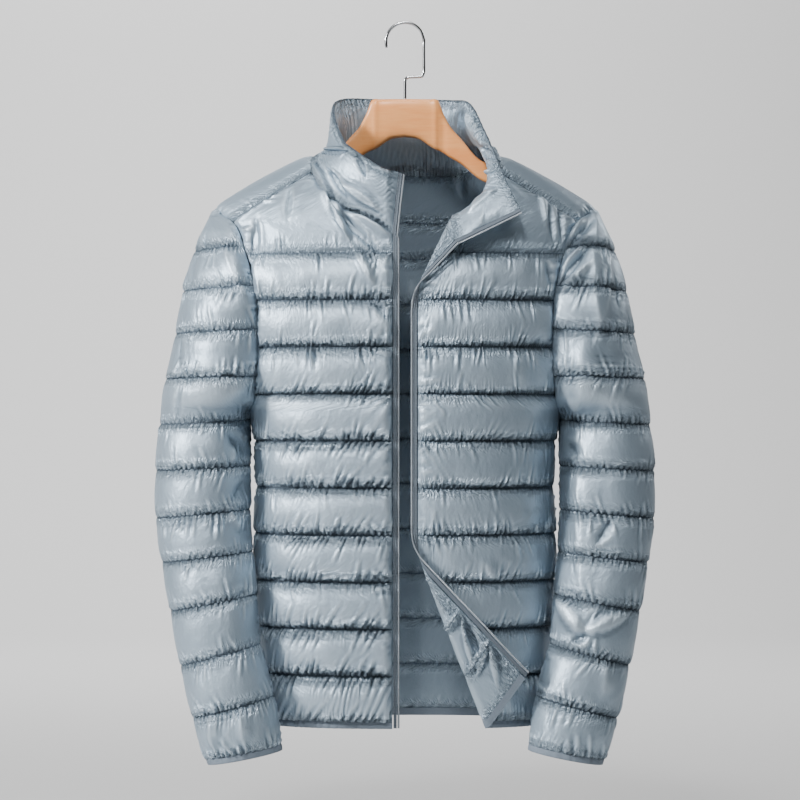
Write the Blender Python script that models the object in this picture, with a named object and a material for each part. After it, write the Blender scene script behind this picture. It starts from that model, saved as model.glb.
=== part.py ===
"""Quilted jacket with an open zip front, hung filled out on a wooden hanger.

Metres. +X is the wearer's left, -Y the front and +Z up. The origin is the inside top of the hanger's hook.
Each quilted piece is a closed wall: a plain inner grid of points, and an outer grid raised between the
stitch lines. The body's pieces share one hollow torso form, which "angle" goes round, from 0 at the
centre front or centre back to 90 at the side seam.
"""

import bpy
import numpy as np

GAP = 0.0003
WALL = 0.0016
PITCH = 0.055
HEM_SEAM_Z = -0.829
UNDERARM_Z = -0.462
CHEST_Z = -0.40
ROUNDING = 2.5
BINDING_HEIGHT = 0.0076
BINDING_WALL = 0.0026
ZIP_WIDTH = 0.0085
TAPE_WALL = 0.0014
COIL_WIDTH = 0.0030
FRONT_EDGE = 0.0062
PANEL_EDGE = FRONT_EDGE + ZIP_WIDTH
TAPE_EDGE = FRONT_EDGE + COIL_WIDTH + 2 * GAP
PUFF_BODY = 0.0085
PUFF_SLEEVE = 0.0060
PUFF_COLLAR = 0.0045
CHANNEL_STEPS = (0.0, 0.2, 0.5, 0.8)
SIDE_SQUASH = (50.0, 72.0)
SEAM_ANGLE = 89.95
ARMHOLE_GAP = 0.0024
ROLL_CROWDING = 4.0
ROLL_SPREAD = 0.075

TORSO = (
    dict(z=-0.840, half_width=0.1665, front=0.092, back=0.079),
    dict(z=-0.750, half_width=0.1715, front=0.106, back=0.089),
    dict(z=-0.650, half_width=0.1765, front=0.112, back=0.096),
    dict(z=-0.500, half_width=0.1765, front=0.117, back=0.101),
    dict(z=-0.462, half_width=0.1820, front=0.117, back=0.102),
    dict(z=-0.430, half_width=0.1910, front=0.117, back=0.102),
    dict(z=-0.390, half_width=0.2005, front=0.117, back=0.102),
    dict(z=-0.340, half_width=0.2145, front=0.116, back=0.101),
    dict(z=-0.300, half_width=0.2225, front=0.116, back=0.100),
    dict(z=-0.225, half_width=0.2325, front=0.115, back=0.100),
    dict(z=-0.140, half_width=0.2360, front=0.115, back=0.100),
)
RIDGE = (
    dict(x=0.000, z=-0.1500),
    dict(x=0.060, z=-0.1540),
    dict(x=0.114, z=-0.1630),
    dict(x=0.170, z=-0.1905),
    dict(x=0.228, z=-0.2245),
    dict(x=0.240, z=-0.2310),
)
ARMHOLE = (
    dict(z=-0.4620, front=90.0, back=90.0),
    dict(z=-0.4590, front=82.5, back=83.5),
    dict(z=-0.4520, front=74.5, back=77.0),
    dict(z=-0.4400, front=67.0, back=71.5),
    dict(z=-0.4200, front=60.0, back=67.0),
    dict(z=-0.3900, front=55.6, back=63.0),
    dict(z=-0.3400, front=50.0, back=58.0),
    dict(z=-0.3000, front=50.1, back=57.4),
    dict(z=-0.2710, front=52.6, back=59.7),
    dict(z=-0.2500, front=55.2, back=63.1),
    dict(z=-0.2403, front=58.5, back=67.2),
    dict(z=-0.2335, front=64.0, back=71.1),
    dict(z=-0.2285, front=70.2, back=74.8),
    dict(z=-0.2245, front=77.4, back=77.4),
)
NECK_FRONT = (
    dict(x=PANEL_EDGE, z=-0.2580),
    dict(x=0.0282, z=-0.2475),
    dict(x=0.0430, z=-0.2395),
    dict(x=0.0640, z=-0.2310),
    dict(x=0.0820, z=-0.2180),
    dict(x=0.0950, z=-0.2040),
    dict(x=0.1050, z=-0.1900),
    dict(x=0.1095, z=-0.1810),
)
YOKE_Z = -0.2403
NECK_BACK = (
    dict(share=0.0, x=0.0000, arch=63.0),
    dict(share=0.2, x=0.0450, arch=63.6),
    dict(share=0.3, x=0.0680, arch=66.0),
    dict(share=0.4, x=0.0890, arch=73.5),
    dict(share=0.5, x=0.1060, arch=91.0),
    dict(share=0.6, x=0.1095, arch=112.6),
)
UPPER_BACK = (
    dict(share=0.09, raised=0.75),
    dict(share=0.18, raised=1.00),
    dict(share=0.28, raised=0.75),
    dict(share=0.36, raised=0.00),
    dict(share=0.48, raised=0.45),
    dict(share=0.60, raised=0.60),
    dict(share=0.72, raised=0.60),
    dict(share=0.84, raised=0.50),
    dict(share=0.93, raised=0.30),
    dict(share=1.00, raised=0.05),
)
TIP_SHARE = 0.60
LAPEL = dict(
    low=(0.0057, -0.3590),
    high=(0.0619, -0.2359),
    radius_low=0.0095,
    radius_high=0.0062,
    turn=152.0,
    lift=0.45,
)
CORNER = dict(
    low=(0.0990, -0.8300),
    high=(0.0250, -0.6400),
    radius_low=0.0080,
    radius_high=0.0065,
    turn=160.0,
    lift=0.35,
)
SLEEVE = (
    dict(line=0.0, out_x=0.2300, out_z=-0.2250, in_x=0.2230, in_z=-0.2250, mid_y=0.000, depth=0.010),
    dict(line=1.0, out_x=0.2490, out_z=-0.2740, in_x=0.1500, in_z=-0.2700, mid_y=0.000, depth=0.062),
    dict(line=2.0, out_x=0.2620, out_z=-0.3225, in_x=0.1520, in_z=-0.3168, mid_y=0.000, depth=0.080),
    dict(line=3.0, out_x=0.2715, out_z=-0.3730, in_x=0.1570, in_z=-0.3673, mid_y=-0.002, depth=0.085),
    dict(line=4.0, out_x=0.2820, out_z=-0.4265, in_x=0.1690, in_z=-0.4225, mid_y=-0.006, depth=0.082),
    dict(line=5.0, out_x=0.2900, out_z=-0.4815, in_x=0.1860, in_z=-0.4781, mid_y=-0.015, depth=0.072),
    dict(line=6.0, out_x=0.2935, out_z=-0.5350, in_x=0.1870, in_z=-0.5293, mid_y=-0.025, depth=0.066),
    dict(line=7.0, out_x=0.2925, out_z=-0.5905, in_x=0.1870, in_z=-0.5808, mid_y=-0.035, depth=0.060),
    dict(line=8.0, out_x=0.2850, out_z=-0.6425, in_x=0.1840, in_z=-0.6303, mid_y=-0.046, depth=0.055),
    dict(line=9.0, out_x=0.2745, out_z=-0.6990, in_x=0.1785, in_z=-0.6801, mid_y=-0.060, depth=0.050),
    dict(line=10.0, out_x=0.2615, out_z=-0.7625, in_x=0.1728, in_z=-0.7378, mid_y=-0.072, depth=0.044),
    dict(line=11.0, out_x=0.2466, out_z=-0.8230, in_x=0.1566, in_z=-0.7985, mid_y=-0.084, depth=0.039),
    dict(line=12.0, out_x=0.2310, out_z=-0.8720, in_x=0.1475, in_z=-0.8555, mid_y=-0.090, depth=0.034),
)
SLEEVE_LINES = 12
UNDERARM_LINE = 4.8
COLLAR_TOP = (
    dict(share=0.00, x=-0.0080, y=-0.0930, z=-0.1840, bulge=0.000),
    dict(share=0.08, x=-0.0270, y=-0.0940, z=-0.1780, bulge=0.002),
    dict(share=0.17, x=-0.0490, y=-0.0840, z=-0.1640, bulge=0.004),
    dict(share=0.27, x=-0.0730, y=-0.0590, z=-0.1410, bulge=0.009),
    dict(share=0.35, x=-0.0850, y=-0.0200, z=-0.1060, bulge=0.012),
    dict(share=0.42, x=-0.0770, y=0.0200, z=-0.0885, bulge=0.010),
    dict(share=0.50, x=-0.0200, y=0.0410, z=-0.0870, bulge=0.003),
    dict(share=0.58, x=0.0560, y=0.0370, z=-0.0880, bulge=0.005),
    dict(share=0.64, x=0.0760, y=0.0120, z=-0.0930, bulge=0.010),
    dict(share=0.72, x=0.0940, y=-0.0230, z=-0.1290, bulge=0.010),
    dict(share=0.81, x=0.1090, y=-0.0590, z=-0.1680, bulge=0.006),
    dict(share=0.90, x=0.1220, y=-0.0860, z=-0.2000, bulge=0.002),
    dict(share=1.00, x=0.1340, y=-0.1090, z=-0.2270, bulge=0.000),
)
HANGER = (
    dict(x=0.0000, top=-0.0905, bottom=-0.1356, y=0.000, thick=0.022),
    dict(x=0.0180, top=-0.0905, bottom=-0.1388, y=0.000, thick=0.022),
    dict(x=0.0310, top=-0.0906, bottom=-0.1472, y=0.000, thick=0.022),
    dict(x=0.0405, top=-0.0912, bottom=-0.1520, y=-0.001, thick=0.021),
    dict(x=0.0455, top=-0.1060, bottom=-0.1545, y=-0.001, thick=0.020),
    dict(x=0.0520, top=-0.1195, bottom=-0.1590, y=-0.002, thick=0.019),
    dict(x=0.0670, top=-0.1380, bottom=-0.1680, y=-0.003, thick=0.018),
    dict(x=0.0900, top=-0.1635, bottom=-0.1870, y=-0.004, thick=0.016),
    dict(x=0.1070, top=-0.1690, bottom=-0.1945, y=-0.004, thick=0.016),
    dict(x=0.1200, top=-0.1719, bottom=-0.1984, y=-0.004, thick=0.017),
    dict(x=0.1600, top=-0.1892, bottom=-0.2154, y=-0.003, thick=0.016),
    dict(x=0.2000, top=-0.2106, bottom=-0.2314, y=-0.002, thick=0.014),
    dict(x=0.2100, top=-0.2174, bottom=-0.2284, y=-0.002, thick=0.009),
)
HOOK_BEND = 0.0228
HOOK_WIRE = 0.0018
HOOK_JOG_Z = -0.0630
HOOK_FOOT_Z = -0.0902
COLLAR_LIFT = 0.0022
LAPEL_LIFT = 0.0036

SHELL_COLOUR = (0.42, 0.49, 0.55, 1.0)
BINDING_COLOUR = (0.22, 0.27, 0.34, 1.0)
TAPE_COLOUR = (0.30, 0.35, 0.40, 1.0)
COIL_COLOUR = (0.50, 0.53, 0.55, 1.0)
WOOD_COLOUR = (0.80, 0.46, 0.26, 1.0)
STEEL_COLOUR = (0.72, 0.73, 0.74, 1.0)


def smooth(table, key, name, at):
    """The named column at places along the key column, through every row with no corners."""
    keys = np.array([row[key] for row in table])
    values = np.array([row[name] for row in table])
    slopes = np.gradient(values, keys)
    at = np.clip(np.asarray(at, float), keys[0], keys[-1])
    left = np.clip(np.searchsorted(keys, at, side="right") - 1, 0, len(keys) - 2)
    span = keys[left + 1] - keys[left]
    t = (at - keys[left]) / span
    rise = values[left + 1] - values[left]
    a = slopes[left] * span - rise
    b = rise - slopes[left + 1] * span
    return values[left] + rise * t + t * (1 - t) * (a * (1 - t) + b * t)


def ramp(low, high, at):
    """0 below low, 1 above high, and a smooth rise between."""
    t = np.clip((np.asarray(at, float) - low) / (high - low), 0, 1)
    return t * t * (3 - 2 * t)


def unit(vectors):
    return vectors / np.maximum(np.linalg.norm(vectors, axis=-1, keepdims=True), 1e-12)


def ridge(x):
    return smooth(RIDGE, "x", "z", np.abs(x))


def across(angle, z):
    """The distance from the centre at an angle round the torso."""
    return smooth(TORSO, "z", "half_width", z) * np.sin(np.radians(angle)) ** (2 / ROUNDING)


def angle_at(x, z):
    share = np.clip(np.abs(x) / smooth(TORSO, "z", "half_width", z), 0, 1)
    return np.degrees(np.arcsin(share ** (ROUNDING / 2)))


def depth_at(x, z, side):
    """How far the torso stands out from its middle plane: side is "front" or "back"."""
    around = np.cos(np.radians(angle_at(x, z))) ** (2 / ROUNDING)
    rise = np.clip((z - CHEST_Z) / (ridge(x) - CHEST_Z), 0, 1)
    return smooth(TORSO, "z", side, z) * around * np.sqrt(1 - rise**2)


def front_point(x, z):
    return np.stack([x, -depth_at(x, z, "front"), z], axis=-1)


def arch_point(x, arch):
    """A point over the shoulder: arch is 0 at the chest's height on the back, 90 on the ridge."""
    top = ridge(x) - CHEST_Z
    z = CHEST_Z + top * np.sin(np.radians(arch))
    side = np.where(arch <= 90, depth_at(x, z, "back"), -depth_at(x, z, "front"))
    return np.stack([x, side, z], axis=-1)


def normals(points):
    """Unit normals of a grid of points, rows by columns."""
    along = np.gradient(points, axis=0)
    over = np.gradient(points, axis=1)
    return unit(np.cross(over, along))


def resample(line, shares):
    """Points at shares of a polyline's length."""
    steps = np.linalg.norm(np.diff(line, axis=0), axis=1)
    length = np.concatenate([[0], np.cumsum(steps)]) / steps.sum()
    return np.stack([np.interp(shares, length, line[:, k]) for k in range(3)], axis=-1)


def channel_rows(first, last):
    """Row places in channels from first to last, and how high each row is raised."""
    places = [line + step for line in range(first, last) for step in CHANNEL_STEPS]
    places.append(float(last))
    places = np.array(places)
    return places, np.sin(np.pi * (places % 1.0)) ** 0.6


def material(name, colour, rough, metallic=0.0):
    made = bpy.data.materials.new(name)
    made.use_nodes = True
    shader = made.node_tree.nodes["Principled BSDF"]
    shader.inputs["Base Color"].default_value = colour
    shader.inputs["Roughness"].default_value = rough
    shader.inputs["Metallic"].default_value = metallic
    return made


def add_object(name, points, faces, finish):
    mesh = bpy.data.meshes.new(name)
    mesh.from_pydata([tuple(point) for point in points], [], faces)
    mesh.materials.append(finish)
    mesh.update()
    made = bpy.data.objects.new(name, mesh)
    bpy.context.scene.collection.objects.link(made)
    return made


def add_wall(name, outer, inner, finish, kept_rows=None, sewn_from=None):
    """A closed wall between two grids. The inner one keeps kept_rows, and columns are sewn into a tube
    from the row sewn_from on."""
    rows, columns = outer.shape[:2]
    kept = np.arange(rows) if kept_rows is None else np.array(sorted(kept_rows))
    sewn_from = rows if sewn_from is None else sewn_from
    nearest = kept[np.abs(np.arange(rows)[:, None] - kept[None, :]).argmin(axis=1)]

    def outer_id(row, column):
        return row * columns + (0 if column == columns - 1 and row >= sewn_from else column)

    def inner_id(row, column):
        return rows * columns + outer_id(nearest[row], column)

    faces = []
    loose = {}
    for row in range(rows - 1):
        for column in range(columns - 1):
            corners = ((row, column), (row, column + 1), (row + 1, column + 1), (row + 1, column))
            faces.append([outer_id(*corner) for corner in corners])
            for one, two in zip(corners, corners[1:] + corners[:1]):
                ids = outer_id(*one), outer_id(*two)
                if loose.pop(ids[::-1], None) is None:
                    loose[ids] = (one, two)
    for low, high in zip(kept[:-1], kept[1:]):
        for column in range(columns - 1):
            corners = ((low, column), (high, column), (high, column + 1), (low, column + 1))
            faces.append([inner_id(*corner) for corner in corners])
    for (one_id, two_id), (one, two) in loose.items():
        one_in, two_in = inner_id(*one), inner_id(*two)
        faces.append([two_id, one_id, one_in])
        if one_in != two_in:
            faces.append([two_id, one_in, two_in])
    points = np.concatenate([outer.reshape(-1, 3), inner.reshape(-1, 3)])
    used = sorted({index for face in faces for index in face})
    place = {index: order for order, index in enumerate(used)}
    faces = [[place[index] for index in face] for face in faces]
    return add_object(name, points[used], faces, finish)


def add_tube(name, rings, finish, closed=False):
    """A solid carried along rings of points, capped at both ends or closed on itself."""
    count, sides = rings.shape[:2]
    faces = []
    for ring in range(count if closed else count - 1):
        after = (ring + 1) % count
        for side in range(sides):
            beside = (side + 1) % sides
            corners = ((ring, side), (ring, beside), (after, beside), (after, side))
            faces.append([a * sides + b for a, b in corners])
    if not closed:
        faces.append(list(range(sides))[::-1])
        faces.append([(count - 1) * sides + side for side in range(sides)])
    return add_object(name, rings.reshape(-1, 3), faces, finish)


def fold(x, z, crease):
    """The front's points, with what lies beyond the crease line rolled over outwards, and its reach."""
    low, high = np.array(crease["low"]), np.array(crease["high"])
    along = (high - low) / np.linalg.norm(high - low)
    into = np.array([along[1], -along[0]])
    into = into if into[0] > 0 else -into
    place = np.stack([x, z], axis=-1) - low
    reach = -(place @ into)
    beyond = np.maximum(reach, 0)
    share = np.clip(place @ along / np.linalg.norm(high - low), 0, 1)
    radius = crease["radius_low"] + (crease["radius_high"] - crease["radius_low"]) * share
    start_x = x + beyond * into[0]
    start_z = z + beyond * into[1]
    start = front_point(start_x, start_z)
    step = 0.004
    edgewards = unit(front_point(start_x - step * into[0], start_z - step * into[1]) - start)
    upwards = unit(front_point(start_x + step * along[0], start_z + step * along[1]) - start)
    outwards = unit(np.cross(edgewards, upwards))
    outwards = np.where(outwards[..., 1:2] < 0, outwards, -outwards)
    turn = np.radians(crease["turn"])
    angle = np.minimum(beyond / radius, turn)
    straight = np.maximum(beyond - radius * turn, 0)
    ahead = radius * np.sin(angle) + straight * np.cos(turn)
    away = radius * (1 - np.cos(angle)) + straight * np.sin(turn)
    rise = straight * crease["lift"] * np.sign(along[1])
    parts = ((ahead, edgewards), (away, outwards), (rise, upwards))
    return start + sum(amount[..., None] * direction for amount, direction in parts), reach


def left_front(x, z):
    """The left front's points, and how far each lies beyond its nearest crease."""
    lapel, over_lapel = fold(x, z, LAPEL)
    corner, over_corner = fold(x, z, CORNER)
    low = (z < UNDERARM_Z)[..., None]
    return np.where(low, corner, lapel), np.where(low[..., 0], over_corner, over_lapel)


def front_rows():
    """Heights of the front's rows, their raising, and the rows on stitch lines."""
    places, raised = channel_rows(0, 10)
    heights = HEM_SEAM_Z + PITCH * places
    top = np.array([-0.268, -0.256, -0.2435, -0.228, -0.212, -0.197, -0.1835])
    bulge = np.array([0.35, 0.55, 0.65, 0.65, 0.60, 0.45, 0.10])
    kept = list(range(0, len(heights), len(CHANNEL_STEPS)))
    kept += range(len(heights), len(heights) + len(top))
    return np.concatenate([heights, top]), np.concatenate([raised, bulge]), kept


def front_limits(z):
    """Where a front's row starts and ends: the zip or neck, and the armhole, side or yoke seam."""
    neck = np.array([(row["z"], row["x"]) for row in NECK_FRONT])
    start = np.where(z <= neck[0, 0], PANEL_EDGE, np.interp(z, neck[:, 0], neck[:, 1]))
    end = np.where(z < UNDERARM_Z, across(SEAM_ANGLE, z) + GAP, across(smooth(ARMHOLE, "z", "front", z), z))
    neck_end = NECK_FRONT[-1]
    share = (z - YOKE_Z) / (neck_end["z"] - YOKE_Z)
    yoke = across(smooth(ARMHOLE, "z", "front", YOKE_Z), YOKE_Z)
    end = np.where(z > YOKE_Z, yoke + (neck_end["x"] - yoke) * share, end)
    return start + GAP, np.maximum(end, start + 0.003) - GAP


def row_angles(start, end, z, columns, side):
    """Angles of each row's columns from start to end, closer together where the left front rolls over."""
    first, last = angle_at(start, z)[:, None], angle_at(end, z)[:, None]
    share = np.broadcast_to(np.linspace(0, 1, columns + 1), (len(z), columns + 1))
    if side > 0:
        roll = np.maximum(start, np.where(z < UNDERARM_Z, roll_middle(z, CORNER), roll_middle(z, LAPEL)))
        centre = (angle_at(roll, z)[:, None] - first) / (last - first)
        fine = np.linspace(0, 1, 241)
        count = fine + ROLL_CROWDING * ROLL_SPREAD * np.arctan((fine - centre) / ROLL_SPREAD)
        count = (count - count[:, :1]) / (count[:, -1:] - count[:, :1])
        share = np.stack([np.interp(row, line, fine) for row, line in zip(share, count)])
    return first * (1 - share) + last * share


def roll_middle(z, crease):
    """Where the middle of a crease's roll lies across the front at each height."""
    (low_x, low_z), (high_x, high_z) = crease["low"], crease["high"]
    line = low_x + (high_x - low_x) * (z - low_z) / (high_z - low_z)
    return line - 0.5 * crease["radius_low"] * np.radians(crease["turn"])


def front_grid(columns, side):
    """A front's plain surface points, in the wearer's side: -1 right, 1 left."""
    z, raised, kept = front_rows()
    start, end = front_limits(z)
    angles = row_angles(start, end, z, columns, side)
    x = across(angles, z[:, None])
    heights = np.broadcast_to(z[:, None], x.shape)
    if side > 0:
        points, beyond = left_front(x, heights)
    else:
        points, beyond = front_point(x, heights), np.zeros_like(x)
    edge = ramp(0.0, 0.016, x - start[:, None]) * ramp(0.0, 0.014, end[:, None] - x)
    squash = 1 - 0.75 * ramp(*SIDE_SQUASH, angles)
    return points, beyond, raised[:, None] * edge * squash, kept


def add_right_front(finish):
    points, _, raised, kept = front_grid(columns=10, side=-1)
    points[..., 0] *= -1
    outer = points - normals(points) * (WALL + PUFF_BODY * raised)[..., None]
    add_wall("front_right", outer[:, ::-1], points[:, ::-1], finish, kept)


def add_left_front(finish):
    points, beyond, raised, _ = front_grid(columns=18, side=1)
    flat = np.where(beyond > 0, 0.2, 0.25 + 0.75 * ramp(0.0, 0.040, -beyond))
    outer = points + normals(points) * (WALL + PUFF_BODY * raised * flat)[..., None]
    add_wall("front_left", outer, points, finish)


def arch_at(x, z, over=False):
    """The arch angle of a height on the back or, past the ridge, on the front."""
    rise = np.clip((z - CHEST_Z) / (ridge(x) - CHEST_Z), -1, 1)
    arch = np.degrees(np.arcsin(rise))
    return 180 - arch if over else arch


def back_border(share):
    """The back's top edge from the centre, 0, to the armhole, 1: half the neck, then the shoulder seam."""
    neck_x = smooth(NECK_BACK, "share", "x", share)
    neck_arch = smooth(NECK_BACK, "share", "arch", share)
    neck_end, last = NECK_BACK[-1]["share"], NECK_FRONT[-1]
    over = np.clip((share - neck_end) / (1 - neck_end), 0, 1)
    x = last["x"] + (across(smooth(ARMHOLE, "z", "front", YOKE_Z), YOKE_Z) - last["x"]) * over
    z = last["z"] + (YOKE_Z - last["z"]) * over + 2 * GAP
    on_neck = share < neck_end - 1e-6
    return np.where(on_neck, neck_x, x), np.where(on_neck, neck_arch, arch_at(x, z, over=True))


def back_side(share):
    """The back's armhole edge above the last long channel: up the back to the tip, then down in front."""
    tip_z = ARMHOLE[-1]["z"]
    foot_z = HEM_SEAM_Z + 10 * PITCH
    back_z = foot_z + (tip_z - foot_z) * np.minimum(share / TIP_SHARE, 1)
    front_z = tip_z + (YOKE_Z - tip_z) * np.clip((share - TIP_SHARE) / (1 - TIP_SHARE), 0, 1)
    back_x = across(smooth(ARMHOLE, "z", "back", back_z), back_z)
    front_x = across(smooth(ARMHOLE, "z", "front", front_z), front_z)
    over = share > TIP_SHARE
    x = np.where(over, front_x, back_x)
    return x, np.where(over, arch_at(front_x, front_z, over=True), arch_at(back_x, back_z))


def back_grid(half_columns):
    """The back's plain points, from its right side to its left, with their raising and stitch rows."""
    share = np.linspace(-1, 1, 2 * half_columns + 1)
    places, raised = channel_rows(0, 10)
    z = (HEM_SEAM_Z + PITCH * places)[:, None]
    side = np.where(z < UNDERARM_Z, 90.0, smooth(ARMHOLE, "z", "back", z))
    angles = np.abs(share) * side
    x = np.sign(share) * across(angles, z)
    heights = np.broadcast_to(z, x.shape)
    lower = np.stack([x, depth_at(x, heights, "back"), heights], axis=-1)
    up = np.array([row["share"] for row in UPPER_BACK])[:, None]
    foot_x = x[-1]
    foot_arch = arch_at(foot_x, z[-1])
    top_x, top_arch = back_border(np.abs(share))
    side_x, side_arch = back_side(up)
    end_x = side_x - ((1 - up) * foot_x[-1] + up * top_x[-1])
    end_arch = side_arch - ((1 - up) * foot_arch[-1] + up * top_arch[-1])
    upper_x = (1 - up) * foot_x + up * np.sign(share) * top_x + share * end_x
    upper_arch = (1 - up) * foot_arch + up * top_arch + np.abs(share) ** 3 * end_arch
    upper = arch_point(upper_x, upper_arch)
    points = np.concatenate([lower, upper])
    points[..., 0] -= np.sign(share) * GAP * (np.abs(share) == 1)
    edge = ramp(0.0, 0.10, 1 - np.abs(share))
    squash = np.concatenate([1 - 0.75 * ramp(*SIDE_SQUASH, angles), np.ones_like(upper_x)])
    heights = np.concatenate([raised, [row["raised"] for row in UPPER_BACK]])
    kept = list(range(0, len(places), len(CHANNEL_STEPS))) + list(range(len(places), len(points)))
    return points, heights[:, None] * edge * squash, kept


def add_back(finish):
    points, raised, kept = back_grid(half_columns=10)
    outer = points - normals(points) * (WALL + PUFF_BODY * raised)[..., None]
    add_wall("back", outer[:, ::-1], points[:, ::-1], finish, kept)


def sleeve_grid(columns):
    """The left sleeve's plain points: rows down the arm, columns from the back round the outside."""
    lines, raised = channel_rows(0, SLEEVE_LINES)
    lines[0] = 0.08
    share = np.linspace(0, 1, columns + 1)
    rows = {name: smooth(SLEEVE, "line", name, lines) for name in SLEEVE[0]}
    outside = np.stack([rows["out_x"], rows["mid_y"], rows["out_z"]], axis=-1)
    middle = (outside + np.stack([rows["in_x"], rows["mid_y"], rows["in_z"]], axis=-1)) / 2
    half = outside - middle
    length = np.linalg.norm(half, axis=1)
    open_rows = lines < UNDERARM_LINE
    arm_z = np.where(open_rows, np.maximum(rows["in_z"], UNDERARM_Z), UNDERARM_Z)
    ends, turns = [], []
    for name, sign in (("back", 1), ("front", -1)):
        x = across(smooth(ARMHOLE, "z", name, arm_z), arm_z)
        end = np.stack([x + ARMHOLE_GAP, sign * depth_at(x, arm_z, name), arm_z], axis=-1)
        along = ((end - middle) * half).sum(axis=1) / length**2
        turn = np.arctan2(np.abs(end[:, 1] - rows["mid_y"]) / rows["depth"], along)
        ends.append(end)
        turns.append(np.where(open_rows, turn, np.pi))
    angles = -turns[0][:, None] * (1 - share) + turns[1][:, None] * share
    deep = np.stack([0 * lines, -rows["depth"], 0 * lines], axis=-1)

    def oval(turn):
        across_arm = half[:, None] * np.cos(turn)[..., None]
        return middle[:, None] + across_arm + deep[:, None] * np.sin(turn)[..., None]

    points = oval(angles)
    fade = np.where(open_rows, 1.0, np.exp(-(lines - UNDERARM_LINE) / 0.45))
    sewn = int(np.argmax(~open_rows))
    for end, turn, pull in ((ends[0], angles[:, :1], (1 - share) ** 3), (ends[1], angles[:, -1:], share**3)):
        miss = end - oval(turn)[:, 0]
        miss = np.where(open_rows[:, None], miss, miss[sewn])
        points = points + (miss * fade[:, None])[:, None] * pull[None, :, None]
    inside = ramp(105, 160, np.degrees(np.abs(angles)))
    near = np.linalg.norm(np.diff(points, axis=1), axis=2).sum(axis=1)[:, None]
    edge = ramp(0.0, 0.016, share * near) * ramp(0.0, 0.016, (1 - share) * near)
    edge = np.where(open_rows[:, None], edge, 1.0)
    return points, raised[:, None] * edge * (1 - 0.7 * inside), sewn


def add_sleeve(name, side, finish):
    points, raised, sewn = sleeve_grid(columns=16)
    kept = list(range(0, len(points), len(CHANNEL_STEPS))) + [sewn]
    outer = points + normals(points) * (WALL + PUFF_SLEEVE * raised)[..., None]
    outer[sewn:, -1] = outer[sewn:, 0]
    points[..., 0] *= side
    outer[..., 0] *= side
    if side < 0:
        outer, points = outer[:, ::-1], points[:, ::-1]
    add_wall(name, outer, points, finish, kept, sewn)


def sheet_of(points, thick):
    """A grid's points moved out along its normals."""
    return points + normals(points) * thick


def hem_line(z):
    """A row of points right round the body at one height, from the right zip to the left zip."""
    edge, side_x, level = (np.array([value]) for value in (PANEL_EDGE + GAP, across(90, z), z))
    left_x = across(row_angles(edge, side_x, level, 20, 1)[0], z)
    right_x = across(row_angles(edge, side_x, level, 8, -1)[0], z)
    left = left_front(left_x, np.full_like(left_x, z))[0]
    right = front_point(-right_x, np.full_like(right_x, z))
    back_angles = np.linspace(90, -90, 21)[1:-1]
    back_x = np.sign(back_angles) * across(np.abs(back_angles), z)
    back = np.stack([-back_x, depth_at(back_x, np.full_like(back_x, z), "back"), np.full_like(back_x, z)], -1)
    return np.concatenate([right, back, left[::-1]])


def add_hem_binding(finish):
    heights = np.array([-2 * GAP, -BINDING_HEIGHT / 2, -BINDING_HEIGHT]) + HEM_SEAM_Z
    points = np.stack([hem_line(z) for z in heights])
    add_wall("hem_binding", sheet_of(points, BINDING_WALL), points, finish)


def add_cuff_binding(name, side, finish):
    points = sleeve_grid(columns=16)[0][-3:, :-1]
    down = unit(points[-1] - points[0])
    rim = points[-1] + down * 2 * GAP
    out = unit(rim - rim.mean(axis=0))
    foot = rim + down * BINDING_HEIGHT
    rings = np.stack([rim, rim + out * BINDING_WALL, foot + out * BINDING_WALL, foot], axis=1)
    rings[..., 0] *= side
    if side > 0:
        rings = rings[:, ::-1]
    add_tube(name, rings, finish, closed=True)


def collar_base():
    """The neck seam from the right zip round the back to the left zip."""
    neck = np.array([(row["x"], row["z"]) for row in NECK_FRONT])
    share = np.linspace(0, 1, 15)
    x = np.interp(share * (len(neck) - 1), np.arange(len(neck)), neck[:, 0])
    z = np.interp(share * (len(neck) - 1), np.arange(len(neck)), neck[:, 1])
    right = front_point(-x, z)
    left = left_front(x, z)[0]
    round_back = np.linspace(-1, 1, 21)[1:-1] * NECK_BACK[-1]["share"]
    back_x, arch = back_border(np.abs(round_back))
    return np.concatenate([right, arch_point(np.sign(round_back) * back_x, arch), left[::-1]])


def collar_grid(rows, columns):
    """The collar's plain points, up from the neck seam, right end to left end."""
    share = np.linspace(0, 1, columns + 1)
    base = resample(collar_base(), share)
    top = np.stack([smooth(COLLAR_TOP, "share", name, share) for name in ("x", "y", "z")], axis=-1)
    up = unit(top - base)
    turned = ramp(0.52, 0.62, share) * (1 - ramp(0.90, 0.98, share))
    base = base + up * (COLLAR_LIFT + LAPEL_LIFT * turned)[:, None]
    height = np.linspace(0, 1, rows + 1)[:, None, None]
    points = base * (1 - height) + top * height
    out = -unit(np.cross(np.gradient(base, axis=0), up))
    bulge = smooth(COLLAR_TOP, "share", "bulge", share)[:, None]
    return points - out * bulge * 4 * height * (1 - height)


def add_collar(finish):
    points = collar_grid(rows=6, columns=30)
    rows, columns = points.shape[:2]
    height = np.linspace(0, 1, rows)[:, None]
    share = np.linspace(0, 1, columns)[None, :]
    ends = ramp(0, 0.04, share) * ramp(0, 0.04, 1 - share)
    leaning = 1 - ramp(0.55, 0.70, share) * (1 - ramp(0.05, 0.5, height))
    raised = np.sin(np.pi * np.clip(height * 0.97 + 0.03, 0, 1)) ** 0.6 * ends * leaning
    thick = WALL * (0.65 + 0.35 * ramp(0, 0.3, height)) + PUFF_COLLAR * raised
    outer = points - normals(points) * thick[..., None]
    add_wall("collar", outer[:, ::-1], points[:, ::-1], finish)


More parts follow.
